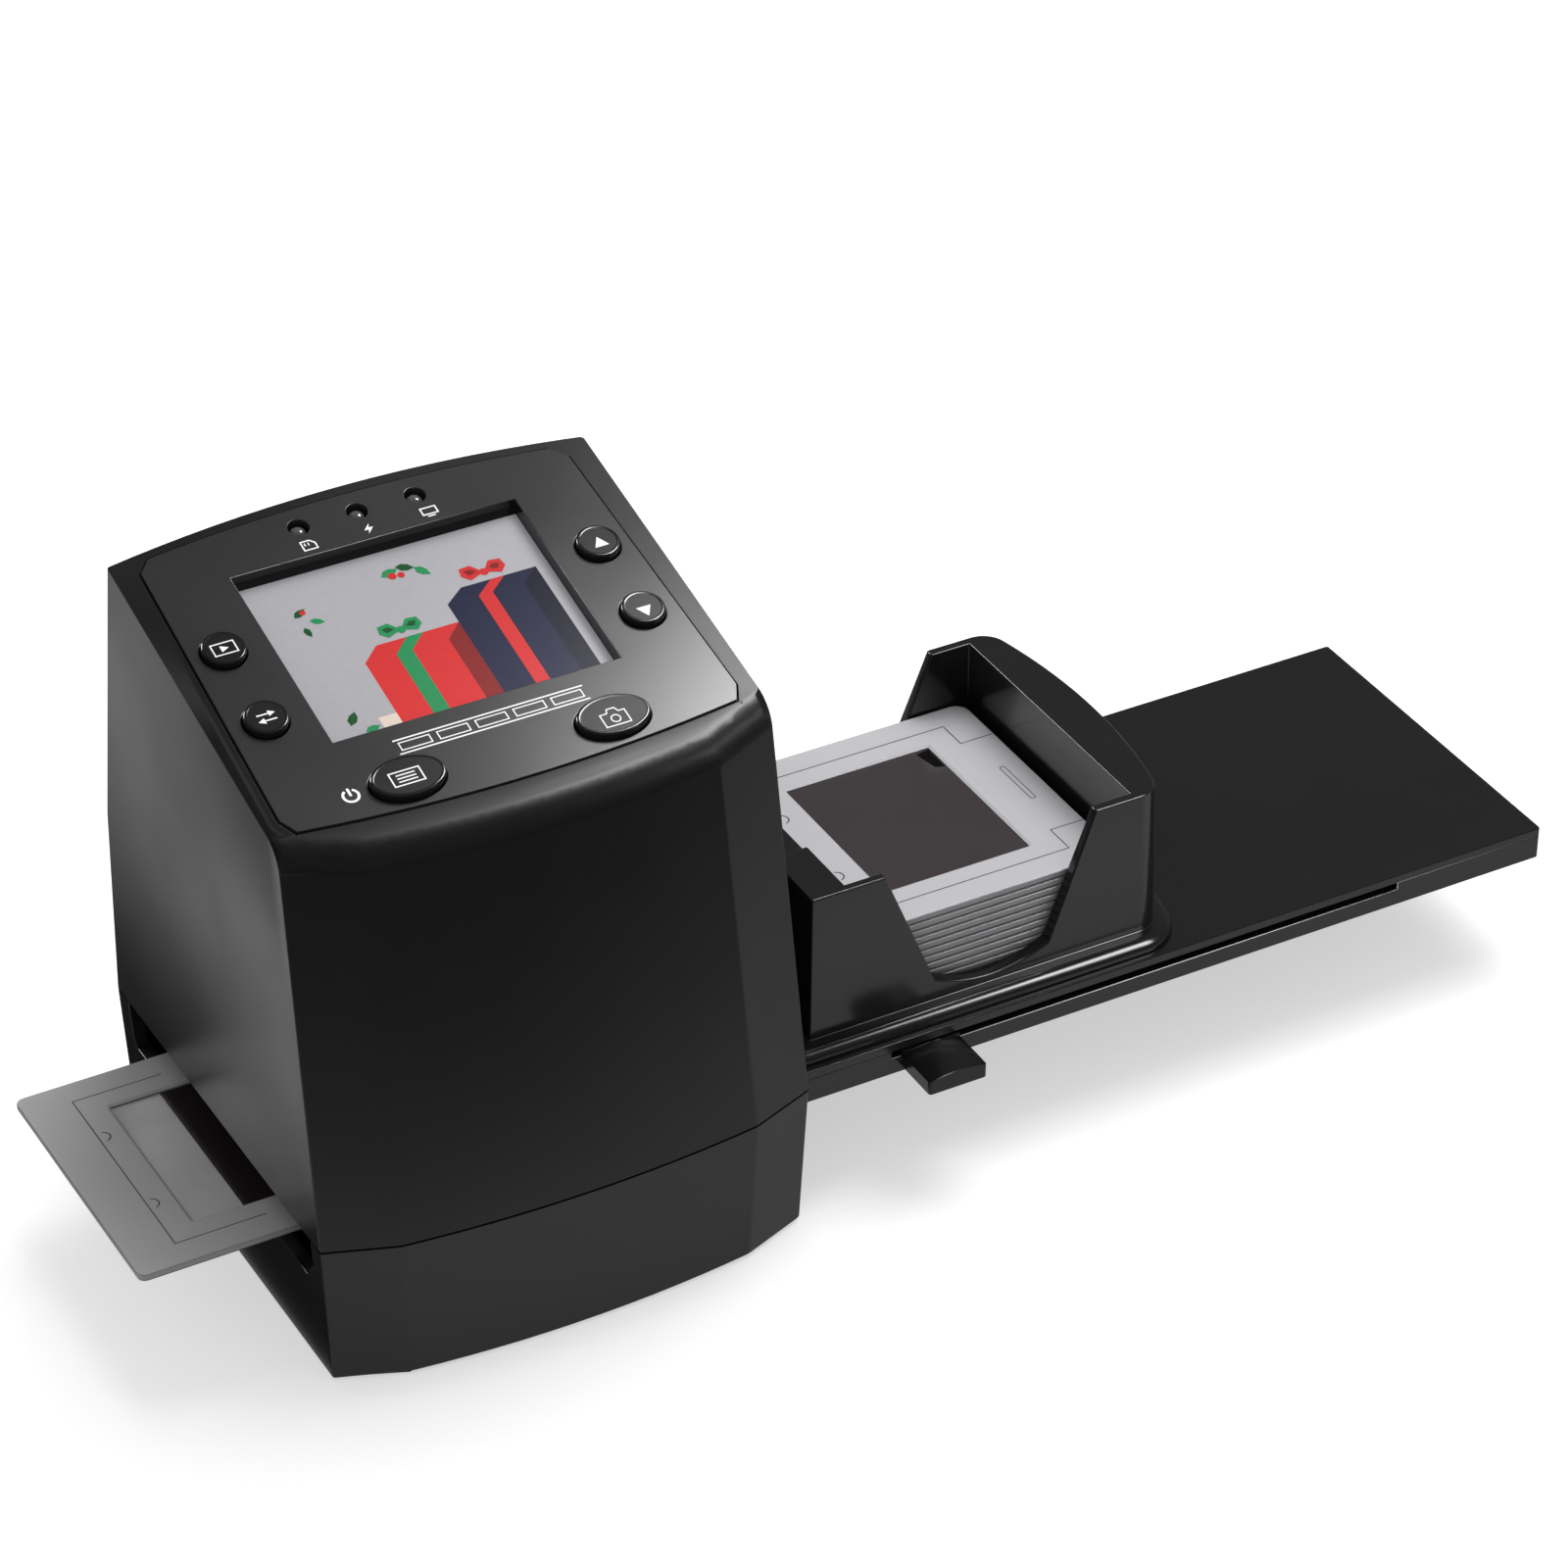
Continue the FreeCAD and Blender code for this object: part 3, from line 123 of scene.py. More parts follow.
def loft(bm, rings):
    rows = [[bm.verts.new(point) for point in ring] for ring in rings]
    for first, second in zip(rows, rows[1:] + rows[:1]):
        for i in range(len(first)):
            j = (i + 1) % len(first)
            bm.faces.new((first[i], first[j], second[j], second[i]))
    bmesh.ops.recalc_face_normals(bm, faces=bm.faces)


def rounded_ring(half_x, half_y, radius, steps):
    points = []
    for sx, sy, start in ((1, 1, 0), (-1, 1, 90), (-1, -1, 180), (1, -1, 270)):
        for i in range(steps + 1):
            a = math.radians(start + 90 * i / steps)
            points.append((sx * (half_x - radius) + radius * math.cos(a),
                           sy * (half_y - radius) + radius * math.sin(a)))
    return points


SHARP = math.radians(32)


def finish_piece(name, bm, body, materials, replaced=()):
    mesh = bpy.data.meshes.new(name)
    bm.to_mesh(mesh)
    bm.free()
    for material in materials:
        mesh.materials.append(material)
    mesh.shade_smooth()
    mesh.set_sharp_from_angle(angle=SHARP)
    piece = bpy.data.objects.new(name, mesh)
    scene.collection.objects.link(piece)
    weighted = piece.modifiers.new("Weighted normals", "WEIGHTED_NORMAL")
    weighted.keep_sharp = True
    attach(piece, body)
    if replaced:
        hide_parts(*replaced)
    print(name, len(mesh.polygons), "faces, rides on", body)


# %% [markdown]
# ## Finishes
#
# Moulded plastic is never one even colour: the mould is spark eroded, so the skin has a fine grain that
# breaks up highlights, and handling leaves faint cloudy patches of more and less gloss. One node group
# makes that grain, and every plastic uses it at its own scale. The base colour and the gloss are all that
# differ from part to part.

# %% The grain group
grain = bpy.data.node_groups.new("Moulded grain", "ShaderNodeTree")
for label, low in (("Grain size", 0.0002), ("Depth", 0.2), ("Dark", 0.9), ("Smooth", 0.3), ("Rough", 0.4)):
    socket = grain.interface.new_socket(name=label, in_out="INPUT", socket_type="NodeSocketFloat")
    socket.default_value = low
grain.interface.new_socket(name="Shade", in_out="OUTPUT", socket_type="NodeSocketFloat")
grain.interface.new_socket(name="Roughness", in_out="OUTPUT", socket_type="NodeSocketFloat")
grain.interface.new_socket(name="Normal", in_out="OUTPUT", socket_type="NodeSocketVector")
group_in = grain.nodes.new("NodeGroupInput")
group_out = grain.nodes.new("NodeGroupOutput")
coords = grain.nodes.new("ShaderNodeTexCoord")
inverse = grain.nodes.new("ShaderNodeMath")
inverse.operation = "DIVIDE"
inverse.inputs[0].default_value = 1.0
fine = grain.nodes.new("ShaderNodeTexNoise")
fine.inputs["Detail"].default_value = 2.0
cloud = grain.nodes.new("ShaderNodeTexNoise")
cloud.inputs["Scale"].default_value = 38.0
cloud.inputs["Detail"].default_value = 4.0
shade = grain.nodes.new("ShaderNodeMapRange")
shade.inputs["From Min"].default_value = 0.3
shade.inputs["From Max"].default_value = 0.7
shade.inputs["To Max"].default_value = 1.0
gloss = grain.nodes.new("ShaderNodeMapRange")
gloss.inputs["From Min"].default_value = 0.3
gloss.inputs["From Max"].default_value = 0.7
bump = grain.nodes.new("ShaderNodeBump")
bump.inputs["Distance"].default_value = 0.00002
wire = grain.links.new
wire(group_in.outputs["Grain size"], inverse.inputs[1])
wire(inverse.outputs[0], fine.inputs["Scale"])
wire(coords.outputs["Object"], fine.inputs["Vector"])
wire(coords.outputs["Object"], cloud.inputs["Vector"])
wire(cloud.outputs["Fac"], shade.inputs["Value"])
wire(group_in.outputs["Dark"], shade.inputs["To Min"])
wire(cloud.outputs["Fac"], gloss.inputs["Value"])
wire(group_in.outputs["Smooth"], gloss.inputs["To Min"])
wire(group_in.outputs["Rough"], gloss.inputs["To Max"])
wire(fine.outputs["Fac"], bump.inputs["Height"])
wire(group_in.outputs["Depth"], bump.inputs["Strength"])
wire(shade.outputs["Result"], group_out.inputs["Shade"])
wire(gloss.outputs["Result"], group_out.inputs["Roughness"])
wire(bump.outputs["Normal"], group_out.inputs["Normal"])
print("grain group has", len(grain.nodes), "nodes")


# %% Plastics from the grain group
def moulded(name, colour, smooth, rough, size, depth, dark=0.88, specular=0.5):
    material = bpy.data.materials.new(name)
    material.use_nodes = True
    tree = material.node_tree
    shader = tree.nodes["Principled BSDF"]
    skin = tree.nodes.new("ShaderNodeGroup")
    skin.node_tree = grain
    skin.inputs["Grain size"].default_value = size * MM
    skin.inputs["Depth"].default_value = depth
    skin.inputs["Dark"].default_value = dark
    skin.inputs["Smooth"].default_value = smooth
    skin.inputs["Rough"].default_value = rough
    tint = tree.nodes.new("ShaderNodeMix")
    tint.data_type = "RGBA"
    tint.inputs[6].default_value = (0, 0, 0, 1)
    tint.inputs[7].default_value = (*colour, 1)
    tree.links.new(skin.outputs["Shade"], tint.inputs[0])
    tree.links.new(tint.outputs[2], shader.inputs["Base Color"])
    tree.links.new(skin.outputs["Roughness"], shader.inputs["Roughness"])
    tree.links.new(skin.outputs["Normal"], shader.inputs["Normal"])
    shader.inputs["Specular IOR Level"].default_value = specular
    return material


case_skin = moulded("Body plastic", (0.006, 0.006, 0.0063), 0.34, 0.41, size=0.32, depth=0.2, specular=0.36)
plate_skin = moulded("Face plate plastic", (0.02, 0.02, 0.0205), 0.28, 0.33, size=0.2, depth=0.06)
gloss_wall = moulded("Window wall", (0.01, 0.01, 0.0105), 0.08, 0.13, size=0.4, depth=0.01, specular=0.35)
key_side = moulded("Key side", (0.008, 0.008, 0.008), 0.16, 0.22, size=0.3, depth=0.04)
key_top = moulded("Key top", (0.006, 0.006, 0.0062), 0.34, 0.42, size=0.2, depth=0.1, specular=0.26)
feeder_skin = moulded("Feeder plastic", (0.011, 0.011, 0.012), 0.15, 0.2, size=0.6, depth=0.02, specular=0.36)
mount_grey = moulded("Slide mount grey", (0.42, 0.42, 0.426), 0.38, 0.46, size=0.22, depth=0.14, dark=0.94)
mount_pale = moulded("Slide mount pale", (0.46, 0.455, 0.475), 0.36, 0.44, size=0.22, depth=0.12, dark=0.95)
# sides and window walls of a mount get this darker grey: painted shade
mount_side_shade = moulded("Slide mount side, painted shade", (0.2, 0.2, 0.208), 0.4, 0.5, size=0.22, depth=0.12)
# dark joint lines on the face, and painted shade on the lower rounding between stacked mounts
joint_and_shade_line = moulded("Slide mount joint line and painted shade", (0.035, 0.035, 0.038), 0.4, 0.5, size=0.22, depth=0.1)
ink = moulded("Key print", (0.88, 0.88, 0.88), 0.5, 0.6, size=0.12, depth=0.1, dark=0.93)
# near black without gloss: painted shade in the gap at the split and in a corner of a slide window
painted_shade_black = moulded("Painted shade black", (0.002, 0.002, 0.002), 0.8, 0.9, size=0.3, depth=0.1, specular=0.05)
inner_black = moulded("Inner black", (0.01, 0.01, 0.01), 0.6, 0.7, size=0.3, depth=0.2)
white_plastic = moulded("White plastic", (0.7, 0.7, 0.68), 0.4, 0.5, size=0.3, depth=0.1, dark=0.94)
chip_skin = moulded("Chip epoxy", (0.02, 0.02, 0.021), 0.5, 0.6, size=0.12, depth=0.2)
rubber = moulded("Rubber", (0.022, 0.022, 0.022), 0.75, 0.88, size=0.18, depth=0.4)
print("plastics ready")

# %% [markdown]
# Metal, circuit board, ribbon cable, film and glass each have their own pattern. The steel of the sockets
# and screws is brushed along one way, the board shows the weave under its green lacquer, and a ribbon cable
# has its conductors side by side. The film in the mounts is a stained clear sheet. In the slide that comes
# out on the left it is a nearly opaque grey sheet: the grey is painted shade of the floor beneath, seen
# through the film, and its strip beside the scanner is painted darker shade.


# %% Other finishes
def patterned(name, pattern, settings, stretch, first, second, **sockets):
    material = bpy.data.materials.new(name)
    material.use_nodes = True
    tree = material.node_tree
    shader = tree.nodes["Principled BSDF"]
    where = tree.nodes.new("ShaderNodeTexCoord")
    mapping = tree.nodes.new("ShaderNodeMapping")
    mapping.inputs["Scale"].default_value = stretch
    texture = tree.nodes.new(pattern)
    for socket, value in settings.items():
        texture.inputs[socket].default_value = value
    tint = tree.nodes.new("ShaderNodeMix")
    tint.data_type = "RGBA"
    tint.inputs[6].default_value = (*first, 1)
    tint.inputs[7].default_value = (*second, 1)
    relief = tree.nodes.new("ShaderNodeBump")
    relief.inputs["Distance"].default_value = 0.00002
    relief.inputs["Strength"].default_value = 0.15
    tree.links.new(where.outputs["Object"], mapping.inputs["Vector"])
    tree.links.new(mapping.outputs["Vector"], texture.inputs["Vector"])
    tree.links.new(texture.outputs["Fac"], tint.inputs[0])
    tree.links.new(tint.outputs[2], shader.inputs["Base Color"])
    tree.links.new(texture.outputs["Fac"], relief.inputs["Height"])
    tree.links.new(relief.outputs["Normal"], shader.inputs["Normal"])
    for socket, value in sockets.items():
        shader.inputs[socket.replace("_", " ")].default_value = value
    return material


steel = patterned("Brushed steel", "ShaderNodeTexNoise", {"Scale": 900.0, "Detail": 3.0}, (0.06, 1, 1),
                  (0.45, 0.45, 0.46), (0.66, 0.66, 0.67), Metallic=1.0, Roughness=0.32)
board = patterned("Board lacquer", "ShaderNodeTexWave", {"Scale": 420.0, "Distortion": 3.0}, (1, 1, 1),
                  (0.012, 0.09, 0.04), (0.018, 0.13, 0.06), Roughness=0.35, Coat_Weight=0.3)
ribbon_skin = patterned("Ribbon cable", "ShaderNodeTexWave", {"Scale": 320.0}, (1, 1, 0),
                        (0.5, 0.5, 0.48), (0.72, 0.72, 0.7), Roughness=0.45)
# grey of the floor in shade as seen through the film, painted on a nearly opaque sheet
film_floor_shade = patterned("Film grey, painted floor shade", "ShaderNodeTexNoise", {"Scale": 70.0, "Detail": 3.0}, (1, 1, 1),
                       (0.38, 0.372, 0.376), (0.52, 0.51, 0.516), Roughness=0.22, Alpha=0.92)
film_dark = patterned("Film dark", "ShaderNodeTexNoise", {"Scale": 45.0, "Detail": 2.0}, (1, 1, 1),
                      (0.034, 0.027, 0.029), (0.046, 0.038, 0.04), Roughness=0.2)
# dark strip of the film beside the scanner: painted shade
film_strip_shade = patterned("Film dark strip, painted shade", "ShaderNodeTexNoise", {"Scale": 45.0, "Detail": 2.0}, (1, 1, 1),
                       (0.012, 0.0075, 0.009), (0.02, 0.0125, 0.014), Roughness=0.24)
glass = patterned("Screen glass", "ShaderNodeTexNoise", {"Scale": 60.0}, (1, 1, 1),
                  (0.01, 0.01, 0.012), (0.014, 0.014, 0.016), Roughness=0.06)
lens = patterned("Lens glass", "ShaderNodeTexNoise", {"Scale": 50.0}, (1, 1, 1),
                 (0.7, 0.75, 0.8), (0.78, 0.82, 0.88), Roughness=0.03, Transmission_Weight=0.9)
pipe = patterned("Light pipe", "ShaderNodeTexNoise", {"Scale": 90.0}, (1, 1, 1),
                 (0.06, 0.06, 0.062), (0.1, 0.1, 0.104), Roughness=0.08, Coat_Weight=1.0)
finishes = {
    "case_plastic": case_skin, "panel_plastic": plate_skin, "button_plastic": key_side,
    "feeder_plastic": feeder_skin, "slide_plastic": mount_grey, "film": film_dark, "screen_glass": glass,
    "lens_glass": lens, "white_plastic": white_plastic, "clear_plastic": pipe, "board": board,
    "chip": chip_skin, "steel": steel, "rubber": rubber, "inner_black": inner_black, "ribbon": ribbon_skin}
for name, solid in nodes.items():
    for slot in solid.material_slots:
        slot.material = finishes[slot.material.name.split(".")[0]]
print("finishes given to", len(nodes), "nodes")

# %% [markdown]
# ## Case
#
# The case is two moulded shells that meet in a fine line round the body. Where they meet, each edge is
# broken a little and painted deep black as the shade in the gap, and that painted shade makes the dark line
# round the case. A groove cut with a boolean would need a clean closed mesh, and a painted bevel doesn't.
# Only
# edges on the outside skin are rounded: ribs and posts inside stay as they are. The small functions below say
# where that skin runs and which edges lie on it.


# %% The outside skin
SPLIT_Z = 26.2
BASE_HEIGHT = 25.7
HALF_WIDTH = 42.1
FRONT_Y = -38.7
BACK_Y = 38.6
BACK_BEND_Z = 60
SIDE_FOOT_IN = 1.2  # how far the foot draws in below the split
FRONT_FOOT_IN = 0.8
SIDE_LEAN = 0.0194  # millimetres inwards for each millimetre up
FRONT_LEAN = 0.151
BACK_LEAN = 0.132


def side_at(z):
    if z < SPLIT_Z:
        return HALF_WIDTH - SIDE_FOOT_IN * (SPLIT_Z - z) / BASE_HEIGHT
    return HALF_WIDTH - SIDE_LEAN * (z - SPLIT_Z)


def front_at(z):
    if z < SPLIT_Z:
        return FRONT_Y + FRONT_FOOT_IN * (SPLIT_Z - z) / BASE_HEIGHT
    return FRONT_Y + FRONT_LEAN * (z - SPLIT_Z)


def back_at(z):
    return BACK_Y - BACK_LEAN * max(z - BACK_BEND_Z, 0)


def on_skin(middle, reach=0.5):
    x, y, z = local(middle)
    return abs(x) > side_at(z) - reach or y < front_at(z) + reach or y > back_at(z) - reach


print("half width at the split", side_at(SPLIT_Z), "and at the foot", side_at(SPLIT_Z - BASE_HEIGHT))

# %% Edges to round
STEEP = 0.7
LONG = 8
PROUD = 0.25
SLOT_LOW_Z = 17
SLOT_HALF_Y = 37


def upright(middle, edge):
    run = edge.verts[0].co - edge.verts[1].co
    return on_skin(middle) and abs(run.z) > STEEP * run.length and run.length > LONG * MM


def outer_rim(middle, edge):
    return on_skin(middle) and on_panel(middle)[2] > PROUD


def split_rim(middle, edge):
    return on_skin(middle) and abs(local(middle)[2] - SPLIT_Z) < 0.02


def foot_rim(middle, edge):
    return on_skin(middle, reach=1.2) and local(middle)[2] < 0.6


def slot_rim(middle, edge):
    x, y, z = local(middle)
    return abs(x) > side_at(z) - 0.3 and SLOT_LOW_Z < z < SPLIT_Z - 0.2 and abs(y) < SLOT_HALF_Y


def deck_rim(middle, edge):
    return not on_skin(middle) and on_panel(middle)[2] > PROUD


# %% Upper and base case
bm = merged("upper_case")
print("uprights", round_edges(bm, upright, width=0.4, segments=3, angle=12))
print("outer rim", round_edges(bm, outer_rim, width=0.32, segments=3))
# the split rim's bevel takes the second material, painted shade of the gap between the shells
print("split rim", round_edges(bm, split_rim, width=0.2, paint=1))
print("deck rim", round_edges(bm, deck_rim, width=0.15))
finish_piece("case_upper_skin", bm, "scanner", [case_skin, painted_shade_black], ["upper_case"])

bm = merged("base_case")
print("uprights", round_edges(bm, upright, width=0.4, segments=3, angle=12))
# the split rim's bevel takes the second material, painted shade of the gap between the shells
print("split rim", round_edges(bm, split_rim, width=0.2, paint=1))
print("foot rim", round_edges(bm, foot_rim, width=0.5))
print("slot rim", round_edges(bm, slot_rim, width=0.15))
finish_piece("case_base_skin", bm, "scanner", [case_skin, painted_shade_black], ["base_case"])

# %% [markdown]
# ## Face plate and screen window
#
# The face plate is a thin satin sheet let into the top of the case, with the window of the screen and holes
# for keys and lamps. The walls of the window are polished, so they mirror the picture. They are faces of
# the same plate, so they get their gloss as a second material and no piece of their own. A seal fills the
# step between the plate and the screen below it, and it slopes a little at the back. It is a loft of four
# rings round its section.

# %% Face plate
WINDOW_LOW = -13.6
WINDOW_HIGH = 23.15
WINDOW_HALF = 24.05
bm = merged("face_plate")
print("plate edges", round_edges(bm, lambda middle, edge: on_panel(middle)[2] > -0.05, width=0.14))
for face in bm.faces:
    u, v, w = on_panel(face.calc_center_median())
    if abs(u) < WINDOW_HALF + 0.05 and WINDOW_LOW - 0.1 < v < WINDOW_HIGH + 0.05 and w < -0.1:
        face.material_index = 1
finish_piece("face_plate_skin", bm, "scanner", [plate_skin, gloss_wall], ["face_plate"])

# %% Screen seal
SEAL_WIDTH = 0.5
SEAL_TOP = -1.5
SEAL_FOOT = -2.49
BACK_SLOPE = 0.875
FRONT_SLOPE = 0.075
middle_v = (WINDOW_HIGH + WINDOW_LOW) / 2
half_height = (WINDOW_HIGH - WINDOW_LOW) / 2
sloped = half_height - (BACK_SLOPE + FRONT_SLOPE) / 2
moved = (BACK_SLOPE - FRONT_SLOPE) / 2
outer_u = WINDOW_HALF + SEAL_WIDTH
outer_v = half_height + SEAL_WIDTH
section = ((WINDOW_HALF, half_height, 0, SEAL_TOP), (WINDOW_HALF, sloped, moved, SEAL_FOOT),
           (outer_u, outer_v, 0, SEAL_FOOT), (outer_u, outer_v, 0, SEAL_TOP))
seal = []
for half_u, half_v, low, w in section:
    ring = rounded_ring(half_u, half_v, radius=0.2, steps=2)
    seal.append([panel(u, middle_v - low + v, w) for u, v in ring])
bm = bmesh.new()
loft(bm, seal)
finish_piece("screen_seal", bm, "scanner", [gloss_wall])

# %% [markdown]
# ## Keys
#
# Each key has a black rounded side and a dark grey top. The top is let in a hair below its rim, which gives
# the thin bright arc on the side away from the light. A bump map has no edge that could catch the light, so
# the step is real: the flat top of the moulded key is inset twice, once for the rim and once for the step.

# %% Keys
KEYS = ("button_upper_left", "button_lower_left", "button_upper_right", "button_lower_right",
        "oval_button_left", "oval_button_right")
KEY_TOP = 1.2
KEY_RIM = 0.16
KEY_STEP = 0.1
KEY_SINK = 0.06
for name in KEYS:
    bm = merged(name)
    tops = [face for face in bm.faces if on_panel(face.calc_center_median())[2] > KEY_TOP - 0.01]
    top = max(tops, key=lambda face: face.calc_area())
    bmesh.ops.inset_region(bm, faces=[top], thickness=KEY_RIM * MM, depth=0)
    bmesh.ops.inset_region(bm, faces=[top], thickness=KEY_STEP * MM, depth=-KEY_SINK * MM)
    top.material_index = 1
    finish_piece(name + "_key", bm, name + "_body", [key_side, key_top], [name])

# %% [markdown]
# ## Print
#
# The white marks are pad printed: flat shapes of ink that lie two hundredths of a millimetre above the
# surface. An image texture would blur when the camera comes close, so they are drawn as flat ribbons and
# polygons on the panel. All of them are small plain pictograms.


# %% Drawing on the panel
SHARPEST = 0.4  # a corner's mitre is cut off beyond this


def stroke(bm, points, width, w, closed=False):
    count = len(points)
    left, right = [], []
    for i, (u, v) in enumerate(points):
        before = points[i - 1] if closed or i > 0 else points[i]
        after = points[(i + 1) % count] if closed or i < count - 1 else points[i]
        into = Vector((u - before[0], v - before[1]))
        out = Vector((after[0] - u, after[1] - v))
        into = into.normalized() if into.length > 0 else out.normalized()
        out = out.normalized() if out.length > 0 else into
        across = Vector((-into.y - out.y, into.x + out.x)).normalized()
        reach = width / 2 / max(across.dot(Vector((-into.y, into.x))), SHARPEST)
        left.append(bm.verts.new(panel(u + across.x * reach, v + across.y * reach, w)))
        right.append(bm.verts.new(panel(u - across.x * reach, v - across.y * reach, w)))
    for i in range(count if closed else count - 1):
        j = (i + 1) % count
        bm.faces.new((left[i], right[i], right[j], left[j]))


def patch(bm, points, w, material=0):
    bm.faces.new([bm.verts.new(panel(u, v, w)) for u, v in points]).material_index = material


def arc(u, v, radius, start, end, steps):
    turns = [math.radians(start + (end - start) * i / steps) for i in range(steps + 1)]
    return [(u + radius * math.cos(a), v + radius * math.sin(a)) for a in turns]


def printed(name, bm, body, materials=(ink,)):
    for face in bm.faces:
        face.normal_update()
        if face.normal.z < 0:
            face.normal_flip()
    finish_piece(name, bm, body, materials)


# %% Marks on the keys
INK_LIFT = 0.02
ON_KEY = KEY_TOP - KEY_SINK + INK_LIFT
bm = bmesh.new()
stroke(bm, [(-33.4, 10.1), (-29.7, 10.1), (-29.7, 7.8), (-33.4, 7.8)], 0.22, ON_KEY, closed=True)
patch(bm, [(-32.1, 9.6), (-32.1, 8.3), (-30.8, 8.95)], ON_KEY)
printed("print_play", bm, "button_upper_left_body")

bm = bmesh.new()
for side in (1, -1):
    u, v = -31.5, -6.3 + 0.65 * side
    stroke(bm, [(u - 1.4 * side, v), (u + 0.6 * side, v)], 0.26, ON_KEY)
    foot = u + 0.5 * side
    patch(bm, [(foot, v + 0.6 * side), (foot, v - 0.6 * side), (u + 1.6 * side, v)], ON_KEY)
printed("print_flip", bm, "button_lower_left_body")

bm = bmesh.new()
patch(bm, [(30.35, 7.9), (32.75, 7.9), (31.55, 10.0)], ON_KEY)
printed("print_up", bm, "button_upper_right_body")

bm = bmesh.new()
patch(bm, [(30.2, -6.1), (32.7, -6.1), (31.45, -8.2)], ON_KEY)
printed("print_down", bm, "button_lower_right_body")

bm = bmesh.new()
stroke(bm, [(-19.8, -23.5), (-14.9, -23.5), (-14.9, -26.2), (-19.8, -26.2)], 0.24, ON_KEY, closed=True)
for row in range(3):
    v = -24.2 - 0.65 * row
    stroke(bm, [(-18.9, v), (-15.8, v)], 0.24, ON_KEY)
printed("print_list", bm, "oval_button_left_body")

bm = bmesh.new()
camera_outline = [(14.8, -24.3), (14.8, -26.9), (18.9, -26.9), (18.9, -24.3), (17.9, -24.3), (17.55, -23.5),
                  (16.3, -23.5), (15.95, -24.3)]
stroke(bm, camera_outline, 0.2, ON_KEY, closed=True)
stroke(bm, arc(16.9, -25.6, 0.72, 0, 345, 23), 0.2, ON_KEY, closed=True)
printed("print_camera", bm, "oval_button_right_body")

# %% [markdown]
# The panel's own marks are the power sign beside the left oval key, three small signs under the lamps for a
# card, power and a screen, and a strip of film frames between the screen and the oval keys.

# %% Marks on the plate
ON_PLATE = INK_LIFT
bm = bmesh.new()
stroke(bm, arc(-26.1, -24.35, 1.2, 120, 420, 30), 0.42, ON_PLATE)
stroke(bm, [(-26.1, -22.85), (-26.1, -24.4)], 0.42, ON_PLATE)
card = [(-11.1, 26.3), (-9.6, 26.3), (-8.9, 25.6), (-8.9, 24.4), (-11.1, 24.4)]
stroke(bm, card, 0.24, ON_PLATE, closed=True)
for u in (-10.6, -10.0):
    stroke(bm, [(u, 25.9), (u, 25.3)], 0.2, ON_PLATE)
bolt = [(0.5, 26.4), (-0.75, 25.15), (0.0, 25.15), (-0.35, 24.3), (0.9, 25.55), (0.15, 25.55)]
patch(bm, bolt, ON_PLATE)
stroke(bm, [(9.2, 26.3), (11.7, 26.3), (11.7, 24.9), (9.2, 24.9)], 0.24, ON_PLATE, closed=True)
stroke(bm, [(9.8, 24.45), (11.1, 24.45)], 0.24, ON_PLATE)
for v in (-16.7, -19.5):
    stroke(bm, [(-15.8, v), (15.8, v)], 0.26, ON_PLATE)
for i in range(5):
    u = -12.64 + 6.32 * i
    window = [(u - 2.5, -17.35), (u + 2.5, -17.35), (u + 2.5, -18.85), (u - 2.5, -18.85)]
    stroke(bm, window, 0.2, ON_PLATE, closed=True)
printed("print_plate", bm, "scanner")

# %% [markdown]
# ## Picture on the screen
#
# The screen shows a plain still life: a pale grey backdrop, a red box and a navy box with ribbons, and a
# few green leaves. It is drawn with the same flat shapes as the print, because an image file would have to
# travel with the script. The layers lie a few thousandths of a millimetre apart, which no one sees and
# which keeps them from flickering through each other. A screen shines by itself, so each colour also glows
# a little. Each layer names its colour by number, in the order of the list at the end of the next cell.


# %% Screen colours
def screen_colour(name, low, high, direction):
    material = bpy.data.materials.new(name)
    material.use_nodes = True
    tree = material.node_tree
    shader = tree.nodes["Principled BSDF"]
    where = tree.nodes.new("ShaderNodeTexCoord")
    mapping = tree.nodes.new("ShaderNodeMapping")
    mapping.inputs["Rotation"].default_value = (0, 0, math.radians(direction))
    mapping.inputs["Location"].default_value = (0.5, 0.5, 0)
    mapping.inputs["Scale"].default_value = (9, 9, 9)
    blend = tree.nodes.new("ShaderNodeTexGradient")
    speck = tree.nodes.new("ShaderNodeTexNoise")
    speck.inputs["Scale"].default_value = 900.0
    mix = tree.nodes.new("ShaderNodeMath")
    mix.operation = "MULTIPLY_ADD"
    mix.inputs[1].default_value = 0.18
    tint = tree.nodes.new("ShaderNodeMix")
    tint.data_type = "RGBA"
    tint.inputs[6].default_value = (*low, 1)
    tint.inputs[7].default_value = (*high, 1)
    tree.links.new(where.outputs["Object"], mapping.inputs["Vector"])
    tree.links.new(where.outputs["Object"], speck.inputs["Vector"])
    tree.links.new(mapping.outputs["Vector"], blend.inputs["Vector"])
    tree.links.new(speck.outputs["Fac"], mix.inputs[0])
    tree.links.new(blend.outputs["Fac"], mix.inputs[2])
    tree.links.new(mix.outputs[0], tint.inputs[0])
    tree.links.new(tint.outputs[2], shader.inputs["Base Color"])
    tree.links.new(tint.outputs[2], shader.inputs["Emission Color"])
    shader.inputs["Emission Strength"].default_value = 0.3
    shader.inputs["Roughness"].default_value = 0.3
    shader.inputs["Specular IOR Level"].default_value = 0.25
    return material


